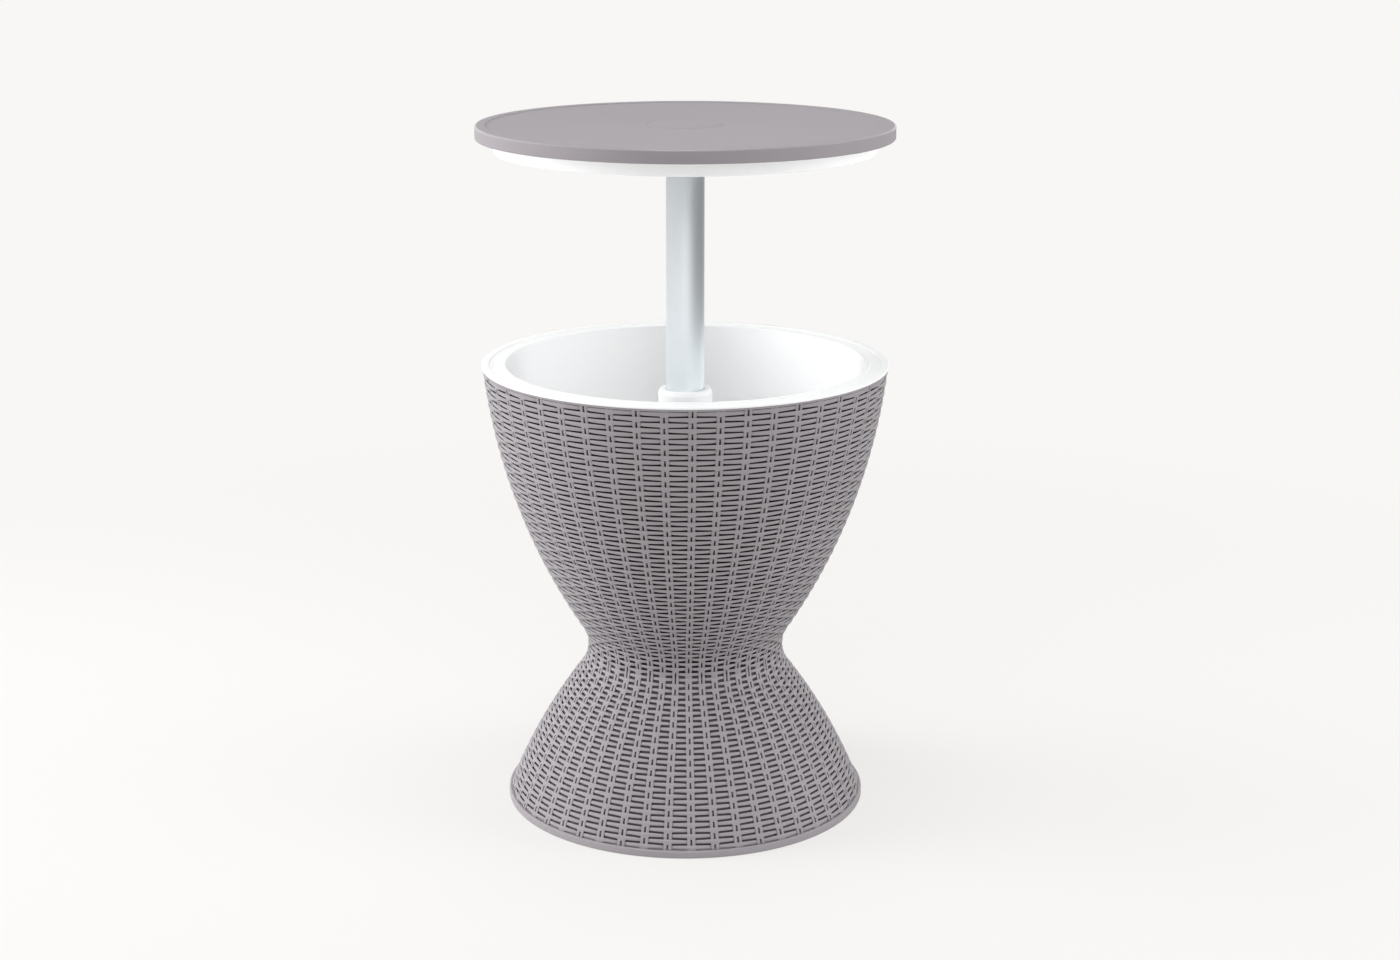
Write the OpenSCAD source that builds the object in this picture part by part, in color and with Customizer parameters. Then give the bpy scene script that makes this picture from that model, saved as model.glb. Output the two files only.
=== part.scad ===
// Garden table with a height-adjustable round top over an ice bucket, in an hourglass body of moulded wicker.
// Millimetres. The origin is on the ground, in the middle of the foot, and +Z points up. The table is drawn raised.

/* [Body] */
// Height of the body, from the ground to the bucket's rim
body_h = 540; // [520:1:570]
// Diameter of the foot
foot_d = 435; // [420:1:450]
// Height of the plain foot band
foot_band_h = 9; // [7:0.5:14]
// How far the skirt steps in above the foot band
foot_step = 3.1; // [1:0.1:6]
// Radius where the two sides would meet without the neck's blend
waist_corner_r = 106.5; // [102:0.5:112]
// Height where the two sides would meet
waist_corner_h = 188; // [180:1:196]
// Radius of the upper side's long curve
upper_side_r = 725; // [650:5:900]
// Radius of the lower side's long curve
lower_side_r = 655; // [600:5:900]
// Radius of the neck's blend
neck_r = 50; // [40:1:60]
// Wall of the wicker shells, relief included
shell_wall = 4; // [3:0.1:5]
// Height of the seam between the two shells
seam_h = 186; // [184:1:192]
// Thickness of the flanges that meet at the seam
seam_flange_t = 4; // [3:0.5:6]
// Width of the lower base's seam flange, inwards from its wall
seam_flange_w = 22; // [20:0.5:24]
// Width of the plain band at the bottom inside the foot
foot_ring_w = 7; // [5:0.5:10]

/* [Weave] */
// Height of the plain border under the rim, along the surface
border_h = 2.7; // [2:0.1:6]
// Rows of strands on the upper shell
upper_rows = 58; // [50:1:62]
// Rows of strands on the lower base
lower_rows = 31; // [26:1:33]
// Depth of the grooves between the rows
groove_depth = 1.4; // [0.8:0.1:1.8]
// Width of the grooves between the rows
groove_w = 1.8; // [1.2:0.1:2.4]
// How far a strand's edges fall back from its middle
strand_crown = 0.5; // [0.2:0.1:0.8]

/* [Bucket] */
// How far the bucket's rim is set in from the table's edge
rim_inset = 2; // [1:0.5:4]
// How far the shell is set in from the rim's edge
shell_inset = 0.8; // [0.3:0.1:2]
// Width of the rim
rim_w = 28.5; // [24:0.5:34]
// Thickness of the rim's edge, over the shell
rim_t = 2; // [1.6:0.1:3]
// How much thicker the rim is inside the shell
rim_rise = 1.5; // [1:0.1:2.5]
// Depth of the shallow channel in the rim's top
channel_depth = 0.8; // [0.4:0.1:1.2]
// Width of the rim's raised inner bead
inner_bead_w = 6; // [4:0.5:8]
// Width of the rim's raised outer bead
outer_bead_w = 8.5; // [6:0.5:10]
// Depth of the bucket, from the rim to the floor
bucket_depth = 240; // [225:1:250]
// Room between the bowl's foot and the shell
bowl_room = 5.4; // [3:0.1:12]
// Radius of the bowl side's long curve
bowl_side_r = 700; // [600:5:900]
// Radius between the bowl's side and floor
bowl_corner_r = 24; // [15:1:32]
// Wall of the bucket
bucket_wall = 3; // [2.5:0.1:4]
// Radius of the centre column at the floor
column_foot_r = 36; // [34:0.5:42]
// Depth of the collar's top below the rim
collar_drop = 32.5; // [28:0.5:40]
// Height of the locating rib under the rim
rim_rib_h = 8; // [5:0.5:12]

/* [Pole and guide] */
// Diameter of the pole
pole_d = 45; // [44:0.5:46]
// Wall of the pole's tube
pole_wall = 1.5; // [1.2:0.1:2]
// Length of pole that stays in the guide at full height
pole_overlap = 100; // [96:1:110]
// Radial room between the pole and the guide, which the runner and the bush fill
guide_room = 2.5; // [2.2:0.1:3]
// Wall of the guide sleeve
guide_wall = 2.5; // [2:0.1:3]
// Width of the guide's two slots
slot_w = 8.4; // [7:0.1:10]
// Height of the pole's two locking lugs
lug_h = 8; // [6:0.5:10]
// Side room of a lug or key in its slot
lug_room = 0.4; // [0.3:0.05:0.6]
// Turn that locks the table, in degrees
lock_turn = 30; // [20:1:40]
// Length of the runner
runner_h = 20; // [15:1:25]
// Length of the bush under the collar
bush_h = 30; // [20:1:36]
// Outer diameter of the collar's top
collar_top_d = 58; // [56:0.5:60]

/* [Table] */
// Diameter of the table
table_d = 485; // [470:1:500]
// Whole thickness of the table, spigot included
table_h = 40; // [38:0.5:46]
// Clear gap between the rim and the raised table
gap_h = 240; // [220:1:250]
// Height of the grey band round the table's edge
band_h = 15.5; // [13:0.5:18]
// Width of the raised rim round the table's surface
table_rim_w = 12; // [8:0.5:16]
// Depth of the recessed surface inside that rim
recess_depth = 1.2; // [0.8:0.1:2]
// Thickness of the table's skin
table_skin = 3.5; // [3:0.1:4.5]
// Thickness of the table's side wall
table_wall = 4; // [3:0.1:5]
// How far the white plate's edge is set in from the table's edge
plate_inset = 21; // [17:0.5:25]
// Height of the spigot that enters the bucket's mouth
spigot_h = 8.5; // [6:0.5:10]
// Wall of the white plate
plate_wall = 3.5; // [3:0.1:4]
// Diameter of the cap in the middle of the table
cap_d = 88.4; // [84:0.1:92]

/* [Drain] */
// Distance of the drain from the middle of the bucket
drain_x = 100; // [90:1:104]
// Radius of the drain's bore
drain_bore_r = 9; // [8:0.1:10]
// Wall of the drain's threaded tube
drain_wall = 3.7; // [3:0.1:4]
// Length of the drain's tube below the floor
drain_tube_h = 30; // [26:1:36]

/* [Fits] */
// Gap between pieces that are assembled and don't move
fit_gap = 0.3; // [0.2:0.05:0.4]
// Radial clearance of pieces that turn or slide in each other
run_gap = 0.05; // [0.03:0.01:0.08]
// Gap that is left between the lowered table and the rim
landing_gap = 0.5; // [0.3:0.1:1]

/* [Hidden] */
$fn = 180;

wicker = [0.58, 0.54, 0.56];
white = [0.93, 0.94, 0.94];
nylon = [0.82, 0.82, 0.80];
metal = [0.70, 0.74, 0.78];
steel = [0.60, 0.61, 0.63];
rubber = [0.14, 0.14, 0.15];

// Heights
rim_z = body_h;
shell_top_z = rim_z - rim_t;
floor_z = rim_z - bucket_depth;
collar_top_z = rim_z - collar_drop;
surface_z = rim_z + gap_h + table_h;
spigot_z = surface_z - table_h;
plate_z = spigot_z + spigot_h;
band_z = surface_z - band_h;
travel = plate_z - rim_z - landing_gap;

// Body sides: each is an arc from the waist's corner, and the neck's blend touches both
table_r = table_d / 2;
rim_r = table_r - rim_inset;
mouth_r = rim_r - rim_w;
shell_r = rim_r - shell_inset;
foot_r = foot_d / 2;
skirt_r = foot_r - foot_step;

function unit(v) = v / norm(v);
function arc_centre(p, q, radius) =
    let (half = (q - p) / 2, side = sqrt(radius * radius - half * half))
    (p + q) / 2 + unit([-half[1], half[0]]) * side;
function arc_points(centre, radius, from, to, steps) =
    [for (i = [0:steps]) let (a = from + (to - from) * i / steps) centre + radius * [cos(a), sin(a)]];
function angle_of(v) = atan2(v[1], v[0]);
function arc_r(centre, radius, z) = centre[0] + sqrt(radius * radius - (z - centre[1]) * (z - centre[1]));

upper_c = arc_centre([waist_corner_r, waist_corner_h], [shell_r, shell_top_z], upper_side_r);
lower_c = arc_centre([skirt_r, foot_band_h], [waist_corner_r, waist_corner_h], lower_side_r);
neck_span = norm(upper_c - lower_c);
neck_low = lower_side_r + neck_r;
neck_high = upper_side_r + neck_r;
neck_along = (neck_low * neck_low - neck_high * neck_high + neck_span * neck_span) / (2 * neck_span);
neck_dir = unit(upper_c - lower_c);
neck_c = lower_c + neck_dir * neck_along
    + [neck_dir[1], -neck_dir[0]] * sqrt(neck_low * neck_low - neck_along * neck_along);
upper_touch_z = (neck_c + unit(upper_c - neck_c) * neck_r)[1];
lower_touch_z = (neck_c + unit(lower_c - neck_c) * neck_r)[1];

// Radius of the body's side at height z, moved inwards by inset
function side_r(z, inset = 0) =
    z >= upper_touch_z ? arc_r(upper_c, upper_side_r - inset, z)
    : z <= lower_touch_z ? arc_r(lower_c, lower_side_r - inset, z)
    : neck_c[0] - sqrt((neck_r + inset) * (neck_r + inset) - (z - neck_c[1]) * (z - neck_c[1]));
function side_points(z0, z1, inset, steps) =
    [for (i = [0:steps]) let (z = z0 + (z1 - z0) * i / steps) [side_r(z, inset), z]];

// Length along the side, from its top edge down to height z, over its three arcs
function upper_run(z) =
    (asin((shell_top_z - upper_c[1]) / upper_side_r) - asin((z - upper_c[1]) / upper_side_r)) * upper_side_r * PI / 180;
function neck_run(z) =
    (asin((upper_touch_z - neck_c[1]) / neck_r) - asin((z - neck_c[1]) / neck_r)) * neck_r * PI / 180;
function lower_run(z) =
    (asin((lower_touch_z - lower_c[1]) / lower_side_r) - asin((z - lower_c[1]) / lower_side_r)) * lower_side_r * PI / 180;
function run_to(z) =
    z >= upper_touch_z ? upper_run(z)
    : z >= lower_touch_z ? upper_run(upper_touch_z) + neck_run(z)
    : upper_run(upper_touch_z) + neck_run(lower_touch_z) + lower_run(z);

// Point of the side at a length from its top edge, moved inwards by inset
function side_point(run, inset = 0) =
    let (upper_len = upper_run(upper_touch_z), neck_len = neck_run(lower_touch_z))
    run <= upper_len ? let (a = asin((shell_top_z - upper_c[1]) / upper_side_r) - run / upper_side_r * 180 / PI)
        upper_c + (upper_side_r - inset) * [cos(a), sin(a)]
    : run <= upper_len + neck_len
        ? let (a = asin((upper_touch_z - neck_c[1]) / neck_r) - (run - upper_len) / neck_r * 180 / PI)
        neck_c + (neck_r + inset) * [-cos(a), sin(a)]
    : let (a = asin((lower_touch_z - lower_c[1]) / lower_side_r) - (run - upper_len - neck_len) / lower_side_r * 180 / PI)
        lower_c + (lower_side_r - inset) * [cos(a), sin(a)];

// Rounded strands with a groove between each two, from one length to another, as outline points from the bottom up
function strand_rows(rows, top_run, low_run) =
    let (pitch = (low_run - top_run) / rows)
    [for (row = [rows - 1:-1:0]) let (start = top_run + row * pitch)
        each concat(
            row < rows - 1 ? [side_point(start + pitch, groove_depth)] : [],
            [side_point(start + pitch - groove_w / 2, strand_crown), side_point(start + pitch / 2),
                side_point(start + groove_w / 2, strand_crown)])];

// How far a cutting shape passes the face that it cuts, and how deep a joined shape runs into its neighbour
cut = 1;
join = 1;

// Seam
seam_r = side_r(seam_h);
seam_bore_r = seam_r - shell_wall - seam_flange_w;
seam_screw_inset = 11;
seam_screw_r = seam_bore_r + seam_screw_inset;
seam_screws = 6;
seam_screw_turn = 180 / seam_screws;
seam_lip_h = 6;
seam_lip_t = 3;
screw_r = 2;
screw_head_r = 4;
screw_head_h = 2.4;
screw_boss_r = 5;
seam_boss_h = 12;
screw_end_h = seam_boss_h - 2;

// Web of ribs that steadies the sleeve in the base
web_ribs = 6;
web_h = 20;
web_t = 4;
web_hub_h = 30;
web_hub_wall = 5;
nut_h = 10;
gasket_t = 3;
floor_nut_w = 8;
floor_nut_r = column_foot_r + floor_nut_w;
end_cap_wall = 2.5;
end_cap_h = 12;

// Guide: the sleeve hangs from the column's top and passes through the bucket's floor and the base's web
pole_r = pole_d / 2;
guide_in_r = pole_r + guide_room;
guide_out_r = guide_in_r + guide_wall;
guide_flange_t = 3;
guide_flange_w = 2.3;
guide_flange_r = guide_out_r + guide_flange_w;
collar_head_h = 9.5;
guide_top_z = collar_top_z - collar_head_h;
column_top_z = guide_top_z - guide_flange_t;
column_bore_r = guide_out_r + fit_gap;
column_wall = 2.5;
column_top_r = guide_flange_r;
pole_foot_z = guide_top_z - pole_overlap;
lug_lift = 2;
lug_z = pole_foot_z + lug_lift;
foot_plug_h = 12;
tube_foot_z = pole_foot_z + foot_plug_h;
runner_z = tube_foot_z + fit_gap;
clip_z = runner_z + runner_h + fit_gap;
clip_t = 1.5;
clip_w = 2.3;
clip_depth = 0.55;
slot_room = 2;
slot_top_z = runner_z + runner_h + slot_room;
guide_tail_h = 22;
nut_room = 2;
guide_foot_z = min(lug_z - travel - guide_tail_h, seam_h - web_hub_h - nut_h - end_cap_h - nut_room);
lug_inset = 0.6;
lug_r = guide_out_r - lug_inset;
lug_w = slot_w - 2 * lug_room;
pocket_spare_turn = 1.5;
pocket_turn = lock_turn + asin(lug_w / 2 / guide_in_r) + pocket_spare_turn;

// Collar
collar_wall = 2;
collar_r = column_top_r + fit_gap + collar_wall;
collar_skirt_h = 14;
seal_inset = 0.2;
seal_r = guide_out_r - seal_inset;
seal_h = 3.5;
bush_flange_t = 2.5;

// Table
recess_z = surface_z - recess_depth;
skin_z = recess_z - table_skin;
plate_r = table_r - plate_inset;
plate_flange_t = 3;
plate_top_z = plate_z + plate_wall;
tray_z = band_z + plate_flange_t;
tray_r = table_r - table_wall - fit_gap;
spigot_room = 3.5;
spigot_r = mouth_r - spigot_room;
spigot_wall = 3.5;
hub_disc_r = 52;
hub_disc_t = 5;
hub_lift = 4;
hub_z = plate_top_z + hub_lift;
hub_top_z = hub_z + hub_disc_t;
hub_socket_wall = 6;
hub_socket_drop = 4;
hub_socket_z = spigot_z - hub_socket_drop;
hub_screw_count = 4;
hub_screw_turn = 180 / hub_screw_count;
hub_screw_r = 42;
hub_screw_bite = 8;
cap_r = cap_d / 2;
cap_t = 3;
cap_pocket_depth = 2.5;
cap_pocket_z = recess_z - cap_pocket_depth;
pad_t = 5;
pad_z = cap_pocket_z - pad_t;
access_r = 16;
plate_screw_count = 6;
plate_screw_r = 150;
plate_screw_bite = 14.5;
plate_screw_sink = 2;
plate_screw_head_h = 1.8;
table_ribs = 12;
table_rib_turn = 180 / table_ribs;
table_rib_t = 2.4;
bolt_r = 4;
bolt_head_r = 6.5;
bolt_head_h = 5;
washer_r = 10;
washer_t = 1.6;
head_plug_h = 24;

// Drain
drain_tube_r = drain_bore_r + drain_wall;
drain_flange_w = 8;
drain_flange_r = drain_tube_r + drain_flange_w;
drain_flange_t = 2.5;
drain_flange_slope = 1.5;
drain_gasket_t = 2.5;
drain_nut_h = 8;
drain_nut_w = 6;
plug_head_w = 5;
plug_head_r = drain_bore_r + plug_head_w;
plug_head_t = 4.5;
plug_shaft_h = 18;
plug_groove_h = 2.4;
plug_groove_drop = 8;
plug_groove_z = floor_z - plug_groove_drop;
seal_wire_r = 0.9;

// A ring between two radii and two heights
module ring(outer_r, inner_r, z0, z1) {
    translate([0, 0, z0])
        difference() {
            cylinder(r = outer_r, h = z1 - z0);
            translate([0, 0, -cut]) cylinder(r = inner_r, h = z1 - z0 + 2 * cut);
        }
}

// Copies of a child on a circle, from an angle on
module around(count, radius, start = 0) {
    for (i = [0:count - 1])
        rotate([0, 0, start + i * 360 / count])
            translate([radius, 0, 0]) children();
}

// A pan-head screw that points up, its head's top face at z = 0
module screw(shank_r, length, head_r, head_h) {
    recess_w = head_r * 1.1;
    recess_t = 1;
    recess_deep = 1;
    cylinder(r = shank_r, h = length);
    translate([0, 0, -head_h])
        difference() {
            cylinder(r1 = head_r * 0.8, r2 = head_r, h = head_h);
            for (turn = [0, 90])
                rotate([0, 0, turn])
                    translate([-recess_w / 2, -recess_t / 2, -recess_deep]) cube([recess_w, recess_t, 2 * recess_deep]);
        }
}

// The flared skirt, with its foot band, the seam's flange and the web that steadies the guide
module lower_base() {
    inner_foot_r = foot_r - foot_ring_w;
    web_start_r = guide_out_r + fit_gap + web_hub_wall / 2;
    foot_low_edge = 1;
    foot_top_edge = 2;
    color(wicker)
        difference() {
            union() {
                rotate_extrude()
                    polygon(concat(
                        [[inner_foot_r, 0], [foot_r - foot_low_edge, 0], [foot_r, foot_low_edge]],
                        arc_points([foot_r - foot_top_edge, foot_band_h - foot_top_edge], foot_top_edge, 0, 90, 4),
                        [[side_r(foot_band_h, groove_depth), foot_band_h]],
                        strand_rows(lower_rows, run_to(seam_h), run_to(foot_band_h)),
                        [[side_r(seam_h, groove_depth), seam_h], [seam_bore_r, seam_h],
                            [seam_bore_r, seam_h - seam_flange_t]],
                        side_points(seam_h - seam_flange_t, foot_band_h + foot_top_edge, shell_wall, 22),
                        [[inner_foot_r, foot_band_h - foot_top_edge]]));
                ring(seam_bore_r + seam_lip_t, seam_bore_r, seam_h - join, seam_h + seam_lip_h);
                ring(guide_out_r + fit_gap + web_hub_wall, guide_out_r + fit_gap, seam_h - web_hub_h, seam_h);
                around(web_ribs, web_start_r)
                    translate([0, -web_t / 2, seam_h - web_h])
                        cube([seam_bore_r + join - web_start_r, web_t, web_h]);
            }
            around(seam_screws, seam_screw_r, seam_screw_turn)
                translate([0, 0, seam_h - seam_flange_t - cut])
                    cylinder(r = screw_r + fit_gap, h = seam_flange_t + 2 * cut);
            translate([0, 0, seam_h - web_hub_h - cut])
                cylinder(r = guide_out_r + fit_gap, h = web_hub_h + 2 * cut);
        }
}

// The bowl-shaped upper shell, open at the top for the bucket
module upper_shell() {
    color(wicker)
        difference() {
            union() {
                rotate_extrude()
                    polygon(concat(
                        [[side_r(seam_h, groove_depth), seam_h]],
                        strand_rows(upper_rows, border_h, run_to(seam_h)),
                        [side_point(border_h, groove_depth), side_point(border_h - groove_w / 2), side_point(0)],
                        side_points(shell_top_z, seam_h + seam_flange_t, shell_wall, 28),
                        [[seam_bore_r + seam_lip_t + fit_gap, seam_h + seam_flange_t],
                            [seam_bore_r + seam_lip_t + fit_gap, seam_h]]));
                around(seam_screws, seam_screw_r, seam_screw_turn)
                    translate([0, 0, seam_h]) cylinder(r = screw_boss_r, h = seam_boss_h);
            }
            around(seam_screws, seam_screw_r, seam_screw_turn)
                translate([0, 0, seam_h - cut]) cylinder(r = screw_r + run_gap, h = screw_end_h + cut);
        }
}

// Screws that join the two shells from below
module waist_screws() {
    color(steel)
        around(seam_screws, seam_screw_r, seam_screw_turn)
            translate([0, 0, seam_h - seam_flange_t])
                screw(screw_r, seam_flange_t + screw_end_h, screw_head_r, screw_head_h);
}

// The white bucket: rim, bowl, floor and the centre column that keeps the pole dry
module bucket_liner() {
    edge_r = 1;
    column_step_drop = 2.5;
    under_z = shell_top_z - rim_rise;
    bowl_foot_r = side_r(floor_z, shell_wall) - bucket_wall - bowl_room;
    bowl_c = arc_centre([bowl_foot_r, floor_z], [mouth_r, rim_z - edge_r], bowl_side_r);
    corner_c = [bowl_c[0] + sqrt(pow(bowl_side_r - bowl_corner_r, 2) - pow(floor_z + bowl_corner_r - bowl_c[1], 2)),
        floor_z + bowl_corner_r];
    low_turn = angle_of(corner_c - bowl_c);
    inner_high_turn = angle_of([mouth_r, rim_z - edge_r] - bowl_c);
    outer_high_turn = asin((under_z - bowl_c[1]) / (bowl_side_r + bucket_wall));
    channel_z = rim_z - channel_depth;
    column_step_z = collar_top_z - collar_head_h - collar_skirt_h - column_step_drop;
    rib_r = side_r(shell_top_z - rim_rib_h, shell_wall) - fit_gap;
    blend_r = 8;
    bead_slope = 0.6;
    rib_w = 2.5;
    color(white)
        difference() {
            rotate_extrude()
                polygon(concat(
                    [[rib_r, shell_top_z], [rim_r, shell_top_z]],
                    arc_points([rim_r - edge_r, rim_z - edge_r], edge_r, 0, 90, 4),
                    [[rim_r - outer_bead_w, rim_z], [rim_r - outer_bead_w - bead_slope, channel_z],
                        [mouth_r + inner_bead_w + bead_slope, channel_z], [mouth_r + inner_bead_w, rim_z]],
                    arc_points([mouth_r + edge_r, rim_z - edge_r], edge_r, 90, 180, 4),
                    arc_points(bowl_c, bowl_side_r, inner_high_turn, low_turn, 16),
                    arc_points(corner_c, bowl_corner_r, low_turn, -90, 8),
                    arc_points([column_foot_r + blend_r, floor_z + blend_r], blend_r, 270, 180, 5),
                    [[column_top_r, column_step_z], [column_top_r, column_top_z], [column_bore_r, column_top_z],
                        [column_bore_r, column_step_z],
                        [column_foot_r - column_wall, floor_z - bucket_wall]],
                    arc_points(corner_c, bowl_corner_r + bucket_wall, -90, low_turn, 8),
                    arc_points(bowl_c, bowl_side_r + bucket_wall, low_turn, outer_high_turn, 16),
                    [[rib_r - rib_w, under_z], [rib_r - rib_w, shell_top_z - rim_rib_h],
                        [rib_r, shell_top_z - rim_rib_h]]));
            translate([-drain_x, 0, floor_z - bucket_wall - cut])
                cylinder(r = drain_tube_r + fit_gap, h = bucket_wall + 2 * cut);
        }
}

// The fixed sleeve: two slots lead the pole's lugs to a locking pocket at each end of the lift
module guide_sleeve() {
    reach = guide_out_r + cut;
    lug_lead = 0.5;
    color(nylon)
        difference() {
            union() {
                ring(guide_out_r, guide_in_r, guide_foot_z, guide_top_z);
                ring(guide_flange_r, guide_in_r, column_top_z, guide_top_z);
            }
            translate([-slot_w / 2, -reach, guide_foot_z - cut])
                cube([slot_w, 2 * reach, slot_top_z - guide_foot_z + cut]);
            for (drop = [0, travel], side = [90, 270])
                translate([0, 0, lug_z - drop - fit_gap])
                    rotate([0, 0, side])
                        rotate_extrude(angle = pocket_turn)
                            translate([guide_in_r - cut, 0])
                                square([guide_wall + 2 * cut, lug_h + fit_gap + lug_lead]);
        }
}

// The bush that steadies the pole at the column's top
module pole_bush() {
    color(nylon)
        difference() {
            union() {
                translate([0, 0, guide_top_z - bush_h]) cylinder(r = guide_in_r - run_gap, h = bush_h + join);
                translate([0, 0, guide_top_z]) cylinder(r = seal_r, h = bush_flange_t);
            }
            translate([0, 0, guide_top_z - bush_h - cut])
                cylinder(r = pole_r + run_gap, h = bush_h + bush_flange_t + 2 * cut);
        }
}

// The wiper ring over the bush, which keeps water out of the guide
module pole_seal() {
    low = guide_top_z + bush_flange_t;
    lip_w = 1.1;
    lip_h = 0.8;
    lip_slope = 0.6;
    color(rubber)
        rotate_extrude()
            polygon([[pole_r + lip_w, low], [seal_r, low], [seal_r, low + seal_h], [pole_r + lip_w, low + seal_h],
                [pole_r + run_gap, low + seal_h - lip_slope], [pole_r + run_gap, low + seal_h - lip_slope - lip_h]]);
}

// The white collar that caps the column
module pole_collar() {
    seat = guide_top_z;
    low = seat - collar_skirt_h;
    lip = seat + bush_flange_t + seal_h;
    top_r = collar_top_d / 2;
    edge = 0.8;
    shoulder_h = 4.5;
    color(white)
        rotate_extrude()
            polygon(concat(
                [[column_top_r + fit_gap, low], [collar_r - edge, low], [collar_r, low + edge],
                    [collar_r, collar_top_z - shoulder_h], [top_r + edge, collar_top_z - edge]],
                [[top_r, collar_top_z], [pole_r + fit_gap + edge, collar_top_z],
                    [pole_r + fit_gap, collar_top_z - edge], [pole_r + fit_gap, lip], [seal_r + run_gap, lip],
                    [seal_r + run_gap, seat], [column_top_r + fit_gap, seat]]));
}

// The gasket between the bucket's floor and the nut below it
module floor_gasket() {
    color(rubber)
        ring(floor_nut_r, guide_out_r + run_gap, floor_z - bucket_wall - gasket_t, floor_z - bucket_wall);
}

// A ring nut with grips, its top face at z1
module ring_nut(outer_r, z1) {
    grip_r = 3.5;
    color(nylon)
        difference() {
            union() {
                ring(outer_r, guide_out_r + run_gap, z1 - nut_h, z1);
                around(8, outer_r - join)
                    translate([0, 0, z1 - nut_h]) cylinder(r = grip_r, h = nut_h);
            }
            translate([0, 0, z1 - nut_h - cut]) cylinder(r = guide_out_r + run_gap, h = nut_h + 2 * cut);
        }
}

// The nut that clamps the sleeve and the column under the bucket's floor
module floor_nut() {
    ring_nut(floor_nut_r, floor_z - bucket_wall - gasket_t);
}

// The nut that pulls the sleeve down against the base's web
module base_nut() {
    ring_nut(guide_out_r + fit_gap + web_hub_wall, seam_h - web_hub_h);
}

// The cap that closes the sleeve's slots at the bottom
module sleeve_end_cap() {
    outer_r = guide_out_r + run_gap + end_cap_wall;
    lip_w = 8;
    color(nylon) {
        ring(outer_r, guide_out_r + run_gap, guide_foot_z - join, guide_foot_z + end_cap_h);
        ring(outer_r, pole_r - lip_w, guide_foot_z - end_cap_wall, guide_foot_z);
    }
}

// The drain's flanged tube in the bucket's floor
module drain_fitting() {
    color(white)
        translate([-drain_x, 0, 0])
            difference() {
                union() {
                    translate([0, 0, floor_z - drain_tube_h]) cylinder(r = drain_tube_r, h = drain_tube_h + join);
                    translate([0, 0, floor_z])
                        cylinder(r1 = drain_flange_r, r2 = drain_flange_r - drain_flange_slope, h = drain_flange_t);
                }
                translate([0, 0, floor_z - drain_tube_h - cut])
                    cylinder(r = drain_bore_r, h = drain_tube_h + drain_flange_t + 2 * cut);
            }
}

// The drain's gasket, under the floor
module drain_gasket() {
    color(rubber)
        translate([-drain_x, 0, 0])
            ring(drain_tube_r + drain_nut_w, drain_tube_r + run_gap, floor_z - bucket_wall - drain_gasket_t,
                floor_z - bucket_wall);
}

// The drain's hexagon nut
module drain_nut() {
    top = floor_z - bucket_wall - drain_gasket_t;
    color(white)
        translate([-drain_x, 0, top - drain_nut_h])
            difference() {
                cylinder(r = drain_tube_r + drain_nut_w, h = drain_nut_h, $fn = 6);
                translate([0, 0, -cut]) cylinder(r = drain_tube_r + run_gap, h = drain_nut_h + 2 * cut);
            }
}

// The drain's plug, with a tab to pull it
module drain_plug() {
    head_z = floor_z + drain_flange_t;
    tab_w = 16;
    tab_t = 4;
    tab_h = 12;
    tab_z = head_z + plug_head_t - join;
    tab_hole_r = 4;
    plug_head_slope = 1;
    color(white)
        translate([-drain_x, 0, 0])
            difference() {
                union() {
                    translate([0, 0, head_z - plug_shaft_h]) cylinder(r = drain_bore_r - 2 * run_gap, h = plug_shaft_h);
                    translate([0, 0, head_z])
                        cylinder(r1 = plug_head_r, r2 = plug_head_r - plug_head_slope, h = plug_head_t);
                    translate([-tab_w / 2, -tab_t / 2, tab_z]) cube([tab_w, tab_t, tab_h - tab_w / 2]);
                    translate([0, tab_t / 2, tab_z + tab_h - tab_w / 2])
                        rotate([90, 0, 0]) cylinder(r = tab_w / 2, h = tab_t);
                }
                translate([0, 0, plug_groove_z - plug_groove_h / 2])
                    ring(drain_bore_r + cut, drain_bore_r - 2 * seal_wire_r - 2 * run_gap, 0, plug_groove_h);
                translate([0, tab_t, tab_z + tab_h / 2])
                    rotate([90, 0, 0]) cylinder(r = tab_hole_r, h = 2 * tab_t);
            }
}

// The ring in the plug's groove
module plug_seal() {
    color(rubber)
        translate([-drain_x, 0, plug_groove_z])
            rotate_extrude()
                translate([drain_bore_r - seal_wire_r - run_gap, 0]) circle(r = seal_wire_r);
}

// The runner on the pole's foot, whose two keys stay in the sleeve's slots
module pole_runner() {
    key_inset = 2;
    color(nylon)
        difference() {
            union() {
                translate([0, 0, runner_z]) cylinder(r = guide_in_r - 2 * run_gap, h = runner_h);
                intersection() {
                    translate([-lug_w / 2, -guide_out_r, runner_z + key_inset])
                        cube([lug_w, 2 * guide_out_r, runner_h - 2 * key_inset]);
                    translate([0, 0, runner_z]) cylinder(r = lug_r, h = runner_h);
                }
            }
            translate([0, 0, runner_z - cut]) cylinder(r = pole_r + run_gap, h = runner_h + 2 * cut);
        }
}

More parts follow.
